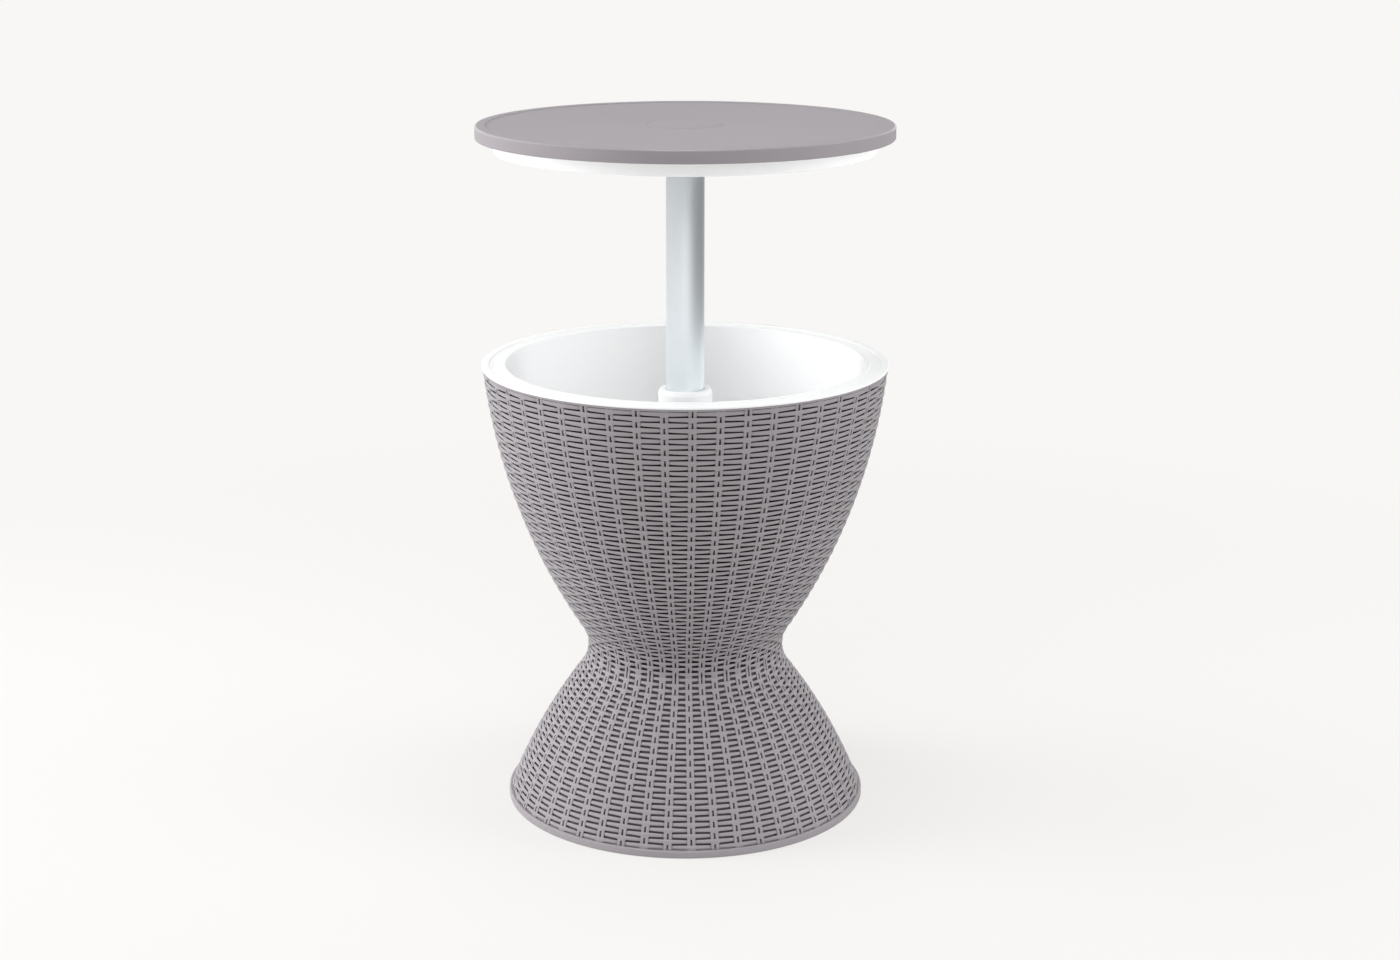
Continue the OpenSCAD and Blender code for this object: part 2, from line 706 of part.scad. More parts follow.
// The round table: recessed surface, raised rim, side band, and ribs and bosses below
module table_top() {
    edge_r = 3.5;
    lower_edge_r = 1.5;
    ledge_r = table_r - table_rim_w;
    access_wall = 4;
    plate_boss_r = screw_boss_r + 1;
    rib_start_r = access_r + access_wall / 2;
    rib_lift = 2;
    color(wicker)
        difference() {
            union() {
                rotate_extrude()
                    polygon(concat(
                        [[0, recess_z], [0, skin_z], [table_r - table_wall, skin_z], [table_r - table_wall, band_z]],
                        arc_points([table_r - lower_edge_r, band_z + lower_edge_r], lower_edge_r, -90, 0, 4),
                        arc_points([table_r - edge_r, surface_z - edge_r], edge_r, 0, 90, 6),
                        [[ledge_r + recess_depth, surface_z], [ledge_r, recess_z]]));
                ring(plate_r, plate_r - plate_wall, tray_z, skin_z + join);
                translate([0, 0, pad_z]) cylinder(r = hub_disc_r, h = skin_z - pad_z + join);
                ring(access_r + access_wall, access_r, hub_top_z, pad_z + join);
                around(hub_screw_count, hub_screw_r, hub_screw_turn)
                    translate([0, 0, hub_top_z]) cylinder(r = screw_boss_r, h = pad_z - hub_top_z + join);
                around(plate_screw_count, plate_screw_r)
                    translate([0, 0, plate_top_z]) cylinder(r = plate_boss_r, h = skin_z - plate_top_z + join);
                around(table_ribs, rib_start_r, table_rib_turn)
                    translate([0, -table_rib_t / 2, hub_top_z + rib_lift])
                        cube([plate_r - plate_wall - fit_gap - rib_start_r, table_rib_t,
                            skin_z + join - hub_top_z - rib_lift]);
            }
            translate([0, 0, cap_pocket_z]) cylinder(r = cap_r + fit_gap, h = cap_pocket_depth + cut);
            translate([0, 0, hub_top_z - cut]) cylinder(r = access_r, h = cap_pocket_z - hub_top_z + 2 * cut);
            around(hub_screw_count, hub_screw_r, hub_screw_turn)
                translate([0, 0, hub_top_z - cut]) cylinder(r = screw_r + run_gap, h = hub_screw_bite + 2 * cut);
            around(plate_screw_count, plate_screw_r)
                translate([0, 0, plate_top_z - cut]) cylinder(r = screw_r + run_gap, h = plate_screw_bite + 2 * cut);
        }
}

// The white plate under the table, whose spigot closes the bucket when the table is down
module under_plate() {
    edge_r = 2;
    hole_r = pole_r + run_gap + hub_socket_wall + fit_gap;
    hole_lip_w = 3;
    color(white)
        difference() {
            union() {
                rotate_extrude()
                    polygon(concat(
                        [[hole_r, plate_z], [plate_r - edge_r, plate_z]],
                        arc_points([plate_r - edge_r, plate_z + edge_r], edge_r, -90, 0, 4),
                        [[plate_r, band_z], [tray_r, band_z], [tray_r, tray_z], [plate_r - plate_wall, tray_z],
                            [plate_r - plate_wall, plate_top_z], [hole_r, plate_top_z]]));
                ring(spigot_r, spigot_r - spigot_wall, spigot_z, plate_z + join);
                ring(hole_r + hole_lip_w, hole_r, plate_z, hub_z);
            }
            around(plate_screw_count, plate_screw_r) {
                translate([0, 0, plate_z - cut]) cylinder(r = screw_r + fit_gap, h = plate_wall + 2 * cut);
                translate([0, 0, plate_z - cut]) cylinder(r = screw_head_r + fit_gap, h = plate_screw_sink + cut);
            }
        }
}

// Screws that hold the white plate to the table
module plate_screws() {
    color(steel)
        around(plate_screw_count, plate_screw_r)
            translate([0, 0, plate_z + plate_screw_sink])
                screw(screw_r, plate_wall - plate_screw_sink + plate_screw_bite, screw_head_r, plate_screw_head_h);
}

// The socket that joins the pole to the table
module pole_hub() {
    socket_r = pole_r + run_gap + hub_socket_wall;
    edge = 1.5;
    color(nylon)
        difference() {
            union() {
                translate([0, 0, hub_z]) cylinder(r = hub_disc_r, h = hub_disc_t);
                translate([0, 0, hub_socket_z]) cylinder(r1 = socket_r - edge, r2 = socket_r, h = edge);
                translate([0, 0, hub_socket_z + edge]) cylinder(r = socket_r, h = hub_z - hub_socket_z);
            }
            translate([0, 0, hub_socket_z - cut]) cylinder(r = pole_r + run_gap, h = hub_z - hub_socket_z + cut);
            translate([0, 0, hub_z - cut]) cylinder(r = bolt_r + fit_gap, h = hub_disc_t + 2 * cut);
            around(hub_screw_count, hub_screw_r, hub_screw_turn)
                translate([0, 0, hub_z - cut]) cylinder(r = screw_r + fit_gap, h = hub_disc_t + 2 * cut);
        }
}

// Screws that hold the hub to the table's bosses
module hub_screws() {
    color(steel)
        around(hub_screw_count, hub_screw_r, hub_screw_turn)
            translate([0, 0, hub_z]) screw(screw_r, hub_disc_t + hub_screw_bite, screw_head_r, screw_head_h);
}

// The round cap over the pole's bolt
module centre_cap() {
    cap_top_z = cap_pocket_z + cap_t;
    crown = 0.2;
    crown_w = 8;
    skirt_wall = 2;
    skirt_drop = 1.5;
    color(wicker)
        union() {
            rotate_extrude()
                polygon([[0, cap_pocket_z], [cap_r, cap_pocket_z], [cap_r, cap_top_z - 4 * crown],
                    [cap_r - 1, cap_top_z - crown], [cap_r - crown_w, cap_top_z], [0, cap_top_z]]);
            ring(access_r - fit_gap, access_r - fit_gap - skirt_wall, pad_z - skirt_drop, cap_pocket_z + join);
        }
}

// The bolt that holds the pole in its hub
module pole_bolt() {
    shank_h = washer_t + hub_disc_t + head_plug_h - 6;
    key_r = 3;
    key_depth = 2.5;
    color(steel)
        translate([0, 0, hub_top_z + washer_t])
            difference() {
                union() {
                    cylinder(r = bolt_head_r, h = bolt_head_h);
                    translate([0, 0, -shank_h]) cylinder(r = bolt_r, h = shank_h + join);
                }
                translate([0, 0, bolt_head_h - key_depth]) cylinder(r = key_r, h = key_depth + cut, $fn = 6);
            }
}

// The washer under the bolt's head
module bolt_washer() {
    color(steel)
        ring(washer_r, bolt_r + fit_gap, hub_top_z, hub_top_z + washer_t);
}

// The pole: an aluminium tube with a groove for the runner's clip
module pole_tube() {
    color(metal)
        difference() {
            ring(pole_r, pole_r - pole_wall, tube_foot_z, hub_z);
            ring(pole_r + cut, pole_r - clip_depth - run_gap, clip_z, clip_z + clip_t + 2 * run_gap);
        }
}

// The plug in the pole's head, which takes the bolt
module pole_head_plug() {
    color(nylon)
        ring(pole_r - pole_wall - run_gap, bolt_r + run_gap, hub_z - head_plug_h, hub_z);
}

// The plug in the pole's foot, with the two locking lugs
module pole_foot_plug() {
    foot_spigot_h = 27;
    hollow_r = 16;
    hollow_h = 23;
    color(nylon)
        difference() {
            union() {
                translate([0, 0, pole_foot_z]) cylinder(r = guide_in_r - 2 * run_gap, h = foot_plug_h);
                translate([0, 0, tube_foot_z - join])
                    cylinder(r = pole_r - pole_wall - run_gap, h = foot_spigot_h + join);
                intersection() {
                    translate([-lug_w / 2, -guide_out_r, lug_z]) cube([lug_w, 2 * guide_out_r, lug_h]);
                    translate([0, 0, lug_z]) cylinder(r = lug_r, h = lug_h);
                }
            }
            translate([0, 0, pole_foot_z - cut]) cylinder(r = hollow_r, h = hollow_h + cut);
        }
}

// The open clip that keeps the runner on the pole's foot
module runner_clip() {
    mouth_turn = 30;
    color(steel)
        translate([0, 0, clip_z + run_gap])
            rotate([0, 0, mouth_turn / 2])
                rotate_extrude(angle = 360 - mouth_turn)
                    translate([pole_r - clip_depth, 0]) square([clip_w, clip_t]);
}

lower_base();
upper_shell();
waist_screws();
bucket_liner();
guide_sleeve();
pole_bush();
pole_seal();
pole_collar();
floor_gasket();
floor_nut();
base_nut();
sleeve_end_cap();
drain_fitting();
drain_gasket();
drain_nut();
drain_plug();
plug_seal();
pole_runner();
table_top();
under_plate();
plate_screws();
pole_hub();
hub_screws();
centre_cap();
pole_bolt();
bolt_washer();
pole_tube();
pole_head_plug();
pole_foot_plug();
runner_clip();
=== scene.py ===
"""A round garden table on a sliding pole, over a woven hourglass body that holds a white bucket."""

import math

import bpy
import numpy as np
from bpy.props import FloatProperty, FloatVectorProperty, IntProperty, PointerProperty
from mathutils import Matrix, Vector


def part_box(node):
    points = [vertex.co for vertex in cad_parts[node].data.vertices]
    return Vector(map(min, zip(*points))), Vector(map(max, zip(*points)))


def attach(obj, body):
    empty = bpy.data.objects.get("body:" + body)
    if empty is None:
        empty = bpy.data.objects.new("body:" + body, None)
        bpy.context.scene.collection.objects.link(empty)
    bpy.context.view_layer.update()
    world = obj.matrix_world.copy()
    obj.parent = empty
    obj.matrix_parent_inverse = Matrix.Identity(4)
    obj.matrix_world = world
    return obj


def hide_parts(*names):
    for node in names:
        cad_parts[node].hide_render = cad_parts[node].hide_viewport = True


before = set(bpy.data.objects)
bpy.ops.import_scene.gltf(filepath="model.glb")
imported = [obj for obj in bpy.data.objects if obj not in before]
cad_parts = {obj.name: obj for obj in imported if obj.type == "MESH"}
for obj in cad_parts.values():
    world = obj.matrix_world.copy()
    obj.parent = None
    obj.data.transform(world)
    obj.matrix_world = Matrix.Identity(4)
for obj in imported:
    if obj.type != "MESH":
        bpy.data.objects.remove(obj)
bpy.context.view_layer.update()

bl_info = {
    "name": "Woven garden table",
    "version": (1, 0, 0),
    "blender": (4, 5, 0),
    "location": "View3D > Sidebar > Garden table",
    "description": "Builds the looks of a height-adjustable garden table round its packed solids",
    "category": "Add Mesh",
}

MM = 0.001

# Smallest radius of a turned piece's ring, so that no ring shrinks to a point before it is merged
AXIS_RADIUS = 0.01 * MM

# Points nearer than this are one point: in metres, and in the flat weave's columns and rows
MERGE_GAP = 0.02 * MM
FLAT_GAP = 0.0001

# A change of size or height smaller than this is no change
NO_CHANGE = 1e-9

# Steps round a turned piece, and round the widest ones
TURN_STEPS = 192
WIDE_STEPS = 256

# Edges sharper than this stay sharp, in degrees
SHARP_ANGLE = 32
WOVEN_SHARP_ANGLE = 60

# Fillet of the table's upper edge in millimetres, and height of the table's band
TABLE_FILLET = 2
TABLE_BAND = 15.5 * MM


# Sizes and colours that a user would change


def length(name, text, millimetres):
    return FloatProperty(name=name, description=text, default=millimetres * MM, unit="LENGTH", precision=5)


def turn_angle(name, text, degrees):
    return FloatProperty(name=name, description=text, default=math.radians(degrees), subtype="ANGLE")


def level(name, text, default):
    return FloatProperty(name=name, description=text, default=default)


def share(name, text, default):
    return FloatProperty(name=name, description=text, default=default, min=0, max=1, subtype="FACTOR")


def whole_number(name, text, default, least):
    return IntProperty(name=name, description=text, default=default, min=least)


def colour(name, text, default):
    return FloatVectorProperty(name=name, description=text, default=default, min=0, max=1,
                               subtype="COLOR")


class GardenBodySizes(bpy.types.PropertyGroup):
    """Sizes of the two shells' side, which is three arcs"""

    waist_corner_radius: length("Waist corner radius", "Radius where the two sides would meet", 106.5)
    waist_corner_height: length("Waist corner height", "Height where the two sides would meet", 188)
    upper_side_radius: length("Upper side radius", "Radius of the upper side's long curve", 725)
    lower_side_radius: length("Lower side radius", "Radius of the lower side's long curve", 655)
    neck_radius: length("Neck radius", "Radius of the blend between the two sides", 50)
    foot_band: length("Foot band", "Height of the plain foot band", 9)
    foot_step: length("Foot step", "How far the skirt steps in above the band", 3.1)
    foot_ring: length("Foot ring", "Width of the ring that the base stands on", 7)
    wall: length("Wall", "Wall of the shells, relief included", 4)
    flange_width: length("Flange width", "Width of the seam's flange", 22)
    flange_thickness: length("Flange thickness", "Thickness of the seam's flange", 4)


class GardenWeaveSizes(bpy.types.PropertyGroup):
    """Counts and sizes of the woven relief"""

    columns: whole_number("Columns", "Pairs of stakes round the body", 48, 8)
    upper_rows: whole_number("Upper rows", "Rows of strands on the upper shell", 58, 4)
    lower_rows: whole_number("Lower rows", "Rows of strands on the lower base", 31, 4)
    first_turn: turn_angle("First column", "Turn of the first pair of stakes", -88.1)
    border: length("Border", "Height of the plain border under the rim", 2.7)
    pair_width_rim: length("Pair width at the rim", "Width of a pair of stakes at the rim", 9.4)
    pair_width_seam: length("Pair width at the seam", "Width of a pair of stakes at the seam", 8.0)
    pair_width_foot: length("Pair width at the foot", "Width of a pair of stakes at the foot", 9.9)
    strand_share_rim: share("Strand share at the rim", "Part of a row that its strand fills at the rim", 0.8)
    strand_share_upper: share("Strand share above the seam", "The same, just above the seam", 0.6)
    strand_share_lower: share("Strand share below the seam", "The same, just below the seam", 0.57)
    strand_share_foot: share("Strand share at the foot", "The same, at the foot", 0.73)
    strand_thickness: length("Strand thickness", "Thickness of a strand", 1.6)
    under_depth: length("Under depth", "How far a strand dips to pass under the stakes", 2.4)
    upper_stake_depth: length("Upper stake depth", "How far upper stakes lie below the strands' crowns", 1.0)
    lower_stake_depth: length("Lower stake depth", "The same, for the lower stakes", 0.55)
    stake_wave: length("Stake wave", "How far a stake rises and falls between strands", 0.35)
    stake_thickness: length("Stake thickness", "Thickness of a stake", 2.4)
    backing_depth: length("Backing depth", "How far the backing lies below the strands' crowns", 3.1)


class GardenFinishes(bpy.types.PropertyGroup):
    """Colours of the finishes"""

    wicker: colour("Wicker", "Mauve grey of the woven plastic and the table", (0.33, 0.307, 0.327))
    # Painted shade: the darkest tone that the recesses between the upper strands are painted towards
    gap: colour("Gap", "Darkest tone between the strands of the upper shell", (0.012, 0.009, 0.011))
    # Painted light: the lower base's mauve grey, made lighter than the upper shell's to stand in for more
    # light falling on it
    skirt: colour("Skirt", "Mauve grey of the lower base, a little lighter", (0.368, 0.342, 0.364))
    # Painted shade: the darkest tone between the lower strands, lighter than the upper one because more light
    # falls into them
    skirt_gap_shade: colour("Skirt gap", "Darkest tone between the lower strands", (0.085, 0.075, 0.082))
    white: colour("White", "White of the bucket and the plate", (0.95, 0.958, 0.962))
    metal: colour("Metal", "Tint of the anodised pole", (0.645, 0.68, 0.715))
    nylon: colour("Nylon", "Off-white of the guide's pieces", (0.62, 0.62, 0.60))
    steel: colour("Steel", "Tint of the screws", (0.52, 0.52, 0.54))
    rubber: colour("Rubber", "Black of the seals", (0.022, 0.022, 0.024))
    backdrop: colour("Backdrop", "Pale tone of the floor and the backdrop", (0.939, 0.930, 0.913))


class GardenStageSizes(bpy.types.PropertyGroup):
    """Camera and lamps"""

    camera_distance: length("Camera distance", "Distance of the camera in front of the pole", 2739.6)
    camera_height: length("Camera height", "Height of the camera", 1137.5)
    camera_pitch: turn_angle("Camera pitch", "How far the camera looks down", 15.1826)
    camera_lens: level("Lens", "Focal length in millimetres", 60.862)
    camera_shift: level("Shift", "Sideways shift of the picture", 0.0105)
    world_level: level("World level", "Strength of the even light", 0.54)
    left_power: level("Left lamp", "Power of the lamp at the left", 51)
    right_power: level("Right lamp", "Power of the lamp at the right", 28)
    key_power: level("Key lamp", "Power of the lamp over the front left", 5)
    front_power: level("Front lamp", "Power of the lamp over the camera", 8)
    top_power: level("Top lamp", "Power of the lamp over the table", 12)
    flag_start: level("Flag start", "How far right the dark side of the room begins", 0.35)
    flag_depth: share("Flag depth", "How much darker the right side of the room is in reflections", 0.62)


# The side of the body


def arc_centre(start, end, radius):
    """Centre of the arc from start to end that bulges away from the axis"""
    half = (end - start) / 2
    side = math.sqrt(radius * radius - half.length_squared)
    return (start + end) / 2 + Vector((-half.y, half.x)).normalized() * side


def neck_centre(upper, lower, sizes):
    """Centre of the blend that touches both long arcs from outside"""
    low = sizes.lower_side_radius + sizes.neck_radius
    high = sizes.upper_side_radius + sizes.neck_radius
    span = (upper - lower).length
    along = (low * low - high * high + span * span) / (2 * span)
    way = (upper - lower).normalized()
    return lower + way * along + Vector((way.y, -way.x)) * math.sqrt(low * low - along * along)


class BodySide:
    """The side of the body as three arcs, measured by its length from the top edge down"""

    def __init__(self, sizes):
        shell_low, shell_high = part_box("upper_shell")
        self.foot_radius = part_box("lower_base")[1].x
        self.top_height = shell_high.z
        self.seam_height = shell_low.z
        self.band_height = sizes.foot_band
        top = Vector((shell_high.x, shell_high.z))
        corner = Vector((sizes.waist_corner_radius, sizes.waist_corner_height))
        foot = Vector((self.foot_radius - sizes.foot_step, sizes.foot_band))
        upper = arc_centre(corner, top, sizes.upper_side_radius)
        lower = arc_centre(foot, corner, sizes.lower_side_radius)
        neck = neck_centre(upper, lower, sizes)
        upper_touch = (neck + (upper - neck).normalized() * sizes.neck_radius).y
        lower_touch = (neck + (lower - neck).normalized() * sizes.neck_radius).y
        self.arcs = []
        run = 0
        for centre, radius, bulge, high, low in (
                (upper, sizes.upper_side_radius, 1, self.top_height, upper_touch),
                (neck, sizes.neck_radius, -1, upper_touch, lower_touch),
                (lower, sizes.lower_side_radius, 1, lower_touch, self.band_height)):
            start_turn = math.asin((high - centre.y) / radius)
            end_turn = math.asin((low - centre.y) / radius)
            self.arcs.append((run, start_turn, low, centre, radius, bulge))
            run += (start_turn - end_turn) * radius
        self.seam_run = self.run_at(self.seam_height)
        self.band_run = self.run_at(self.band_height)

    def points(self, runs, insets):
        """Radii and heights at lengths from the top edge, moved inwards by insets"""
        runs = np.asarray(runs, float)
        insets = np.asarray(insets, float)
        places = np.zeros((2, *runs.shape))
        for first_run, start_turn, _, centre, arc_radius, bulge in self.arcs:
            turn = start_turn - (runs - first_run) / arc_radius
            reach = arc_radius - bulge * insets
            radius = centre.x + bulge * reach * np.cos(turn)
            height = centre.y + reach * np.sin(turn)
            places = np.where(runs >= first_run, (radius, height), places)
        return places

    def run_at(self, height):
        """Length from the top edge down to a height"""
        for first_run, start_turn, low, centre, radius, _ in self.arcs:
            if height >= low:
                break
        return first_run + (start_turn - math.asin((height - centre.y) / radius)) * radius

    def outline(self, start_run, end_run, inset, steps):
        """Points along the side, moved inwards by inset"""
        radii, heights = self.points(np.linspace(start_run, end_run, steps + 1), inset)
        return [(float(r), float(z)) for r, z in zip(radii, heights)]

    def radius_at(self, run, inset=0):
        """Radius at a length from the top edge, moved inwards by inset"""
        return self.outline(run, run, inset, 1)[0][0]


# Modelling


def deselect_all():
    if bpy.context.mode != "OBJECT":
        bpy.ops.object.mode_set(mode="OBJECT")
    bpy.ops.object.select_all(action="DESELECT")


def make_active(piece):
    deselect_all()
    piece.select_set(True)
    bpy.context.view_layer.objects.active = piece


def named(name):
    """Names the object that an operator has just added"""
    piece = bpy.context.active_object
    piece.name = name
    piece.data.name = name
    return piece


def settle(piece):
    """Puts the piece's place into its mesh"""
    make_active(piece)
    bpy.ops.object.transform_apply(location=True, rotation=True, scale=True)


def close_up(piece, gap=MERGE_GAP):
    """Merges doubled points and turns the faces outwards"""
    make_active(piece)
    bpy.ops.object.mode_set(mode="EDIT")
    bpy.ops.mesh.select_all(action="SELECT")
    bpy.ops.mesh.remove_doubles(threshold=gap)
    bpy.ops.mesh.normals_make_consistent(inside=False)
    bpy.ops.object.mode_set(mode="OBJECT")


def smooth(piece, degrees):
    make_active(piece)
    bpy.ops.object.shade_smooth_by_angle(angle=math.radians(degrees))


def apply_modifier(piece, kind, **settings):
    """Adds one modifier with its settings and applies it"""
    make_active(piece)
    modifier = piece.modifiers.new(kind.lower(), kind)
    for setting, value in settings.items():
        setattr(modifier, setting, value)
    bpy.ops.object.modifier_apply(modifier=modifier.name)


def repeat(piece, count, step):
    """Copies the piece count times in a row, and merges where the copies meet"""
    apply_modifier(piece, "ARRAY", count=count, use_relative_offset=False, use_constant_offset=True,
                   constant_offset_displace=step, use_merge_vertices=True, merge_threshold=FLAT_GAP)


def join(pieces, name):
    make_active(pieces[0])
    for piece in pieces[1:]:
        piece.select_set(True)
    bpy.ops.object.join()
    return named(name)


def rounded(corners, arc_steps=6):
    """A closed outline of corners (radius, height, fillet in millimetres), each rounded by its fillet"""
    outline = []
    for index, (radius, height, millimetres) in enumerate(corners):
        here = Vector((radius, height))
        if not millimetres:
            outline.append((radius, height))
            continue
        fillet = millimetres * MM
        before = (Vector(corners[index - 1][:2]) - here).normalized()
        after = (Vector(corners[(index + 1) % len(corners)][:2]) - here).normalized()
        half = before.angle(after) / 2
        centre = here + (before + after).normalized() * fillet / math.sin(half)
        start = here + before * fillet / math.tan(half) - centre
        end = here + after * fillet / math.tan(half) - centre
        turn = math.atan2(start.x * end.y - start.y * end.x, start.dot(end))
        first = math.atan2(start.y, start.x)
        for step in range(arc_steps + 1):
            angle = first + turn * step / arc_steps
            outline.append((centre.x + fillet * math.cos(angle), centre.y + fillet * math.sin(angle)))
    return outline


def arc_points(centre, radius, start, end, steps):
    """Points of an arc between two turns"""
    turns = np.linspace(start, end, steps + 1)
    return [(centre[0] + radius * math.cos(t), centre[1] + radius * math.sin(t)) for t in turns]


def turned(name, outline, steps=TURN_STEPS, closed=True):
    """Turns an outline of (radius, height) points round the pole's axis, by extruding a circle"""
    deselect_all()
    rings = list(outline)
    if closed:
        rings.append(outline[0])
    radius, height = rings[0]
    radius = max(radius, AXIS_RADIUS)
    bpy.ops.mesh.primitive_circle_add(vertices=steps, radius=radius, location=(0, 0, height))
    piece = named(name)
    bpy.ops.object.mode_set(mode="EDIT")
    bpy.ops.mesh.select_all(action="SELECT")
    for next_radius, next_height in rings[1:]:
        next_radius = max(next_radius, AXIS_RADIUS)
        bpy.ops.mesh.extrude_edges_move()
        scale = next_radius / radius
        if abs(scale - 1) > NO_CHANGE:
            bpy.ops.transform.resize(value=(scale, scale, 1), center_override=(0, 0, 0))
        if abs(next_height - height) > NO_CHANGE:
            bpy.ops.transform.translate(value=(0, 0, next_height - height))
        radius, height = next_radius, next_height
    bpy.ops.object.mode_set(mode="OBJECT")
    settle(piece)
    close_up(piece)
    return piece


def cylinder(name, radius, low, high, place=(0, 0), sides=48):
    """A closed upright cylinder between two heights"""
    deselect_all()
    bpy.ops.mesh.primitive_cylinder_add(vertices=sides, radius=radius, depth=high - low,
                                        location=(place[0], place[1], (low + high) / 2))
    piece = named(name)
    settle(piece)
    return piece


def around(count, radius, start=0.0):
    """Places on a circle, as (x, y, turn)"""
    for index in range(count):
        turn = start + index * 2 * math.pi / count
        yield radius * math.cos(turn), radius * math.sin(turn), turn


def radial_ribs(places, start, end, middle, width, height, bevel, segments):
    """Ribs that run outwards from the pole, with rounded edges"""
    ribs = []
    for _, _, turn in places:
        deselect_all()
        bpy.ops.mesh.primitive_cube_add(size=1, location=((start + end) / 2, 0, middle))
        rib = named("rib")
        rib.scale = (end - start, width, height)
        settle(rib)
        apply_modifier(rib, "BEVEL", width=bevel, segments=segments)
        rib.rotation_euler = (0, 0, turn)
        settle(rib)
        ribs.append(rib)
    return ribs


def cut_out(piece, cutters):
    """Cuts the cutters out of the piece"""
    for cutter in cutters:
        apply_modifier(piece, "BOOLEAN", operation="DIFFERENCE", solver="EXACT", object=cutter)
        bpy.data.objects.remove(cutter)


def dress(piece, material):
    piece.data.materials.clear()
    piece.data.materials.append(material)


def finish_piece(piece, body, look, replaces, angle=SHARP_ANGLE):
    """Smooths and dresses a piece, hangs it on the body that it rides on, and hides the imported pieces that
    it stands for
    """
    smooth(piece, angle)
    dress(piece, finish(look))
    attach(piece, body)
    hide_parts(*replaces)


# Points and depths of a mesh, as arrays


def vectors_of(piece, field="co"):
    """The three coordinates of every point's place, or of its normal"""
    values = np.empty(len(piece.data.vertices) * 3, np.float32)
    piece.data.vertices.foreach_get(field, values)
    return values.reshape(-1, 3).astype(float).T


def set_points(piece, x, y, z):
    places = np.column_stack((x, y, z))
    piece.data.vertices.foreach_set("co", places.astype(np.float32).ravel())
    piece.data.update()


def keep_depth(piece, depth):
    """Keeps how deep each point lies below the strands' crowns, for the painted shade between them"""
    piece.data.attributes.new("depth", "FLOAT", "POINT")
    piece.data.attributes["depth"].data.foreach_set("value", depth.astype(np.float32))


# The weave: pieces are drawn flat, where x counts columns, y counts rows down and z is the height above
# the crowns in metres, and are then laid on the body's side

# From the middle of a column, in columns: the edge of its pair of stakes, the middle of a stake, and
# half a stake's width
PAIR_EDGE = 0.25
STAKE_MIDDLE = 0.148
STAKE_HALF = 0.102

# Faces round a strand and round a stake, and how square their sections are (1 is an ellipse)
BAR_FACES = 8
STRAND_SQUARENESS = 0.72
STAKE_SQUARENESS = 0.6

# How far the hidden part of a strand reaches into the backing
HIDDEN_REACH = 0.6 * MM

# One strand from the middle of the stakes that it passes over to the middle of those it passes under:
# distance in columns, depth as a share of the full dip, and height as a share of the full height
STRAND_COURSE = (
    (0.00, 0.00, 1.00),
    (0.16, 0.00, 1.00),
    (0.27, 0.03, 0.98),
    (0.50, 0.13, 0.92),
    (0.68, 0.29, 0.86),
    (0.75, 0.52, 0.82),
    (0.83, 1.00, 0.70),
    (1.00, 1.00, 0.70),
)


class WeaveMap:
    """Lays flat weave coordinates on one shell, the upper one or the lower one"""

    def __init__(self, side, sizes, part):
        self.side = side
        self.part = part
        self.columns = sizes.columns
        self.first_turn = sizes.first_turn
        if part == "upper":
            self.node = "upper_shell"
            self.rows = sizes.upper_rows
            self.start, self.end = sizes.border, side.seam_run
            self.pair_widths = (sizes.pair_width_rim, sizes.pair_width_seam)
            self.shares = (sizes.strand_share_rim, sizes.strand_share_upper)
            self.stake_depth = sizes.upper_stake_depth
            self.first_over = 1
        else:
            self.node = "lower_base"
            self.rows = sizes.lower_rows
            self.start, self.end = side.seam_run, side.band_run
            self.pair_widths = (sizes.pair_width_seam, sizes.pair_width_foot)
            self.shares = (sizes.strand_share_lower, sizes.strand_share_foot)
            self.stake_depth = sizes.lower_stake_depth
            self.first_over = 0

    def lay(self, piece, is_strand):
        """Moves a flat piece on to the side, and keeps each point's depth for the painted shade between the
        strands
        """
        x, y, z = vectors_of(piece)
        if is_strand:
            row = np.floor(y)
            fill = np.interp(row + 0.5, (0, self.rows), self.shares)
            y = row + 0.5 + (y - row - 0.5) * fill
        runs = self.start + y * (self.end - self.start) / self.rows
        surface_radius = self.side.points(runs, 0)[0]
        pair_turn = np.interp(y, (0, self.rows), self.pair_widths) / 2 / surface_radius
        half_column = math.pi / self.columns
        column = np.floor(x + 0.5)
        part = x - column
        inside = np.abs(part) <= PAIR_EDGE
        bay = (np.abs(part) - PAIR_EDGE) / (0.5 - PAIR_EDGE)
        in_pair = np.abs(part) / PAIR_EDGE * pair_turn
        offset = np.where(inside, in_pair, pair_turn + bay * (half_column - pair_turn))
        turn = self.first_turn + column * 2 * half_column + np.sign(part) * offset
        radius, height = self.side.points(runs, -z)
        set_points(piece, radius * np.cos(turn), radius * np.sin(turn), height)
        keep_depth(piece, -z)


def rolled_bar(name, places):
    """A grid rolled up into a bar, with each point's place along it and its turn round the section"""
    deselect_all()
    bpy.ops.mesh.primitive_grid_add(x_subdivisions=len(places) - 1, y_subdivisions=BAR_FACES, size=1)
    bar = named(name)
    x, y, _ = vectors_of(bar)
    index = np.rint((x + 0.5) * (len(places) - 1)).astype(int)
    section = 2 * math.pi * np.rint((y + 0.5) * BAR_FACES) / BAR_FACES
    return bar, np.asarray(places)[index], section


def section_shape(section, squareness):
    """Rounded section: how far across and how far out each point lies, from -1 to 1"""
    across = np.sign(np.cos(section)) * np.abs(np.cos(section)) ** squareness
    out = np.sign(np.sin(section)) * np.abs(np.sin(section)) ** squareness
    return across, out


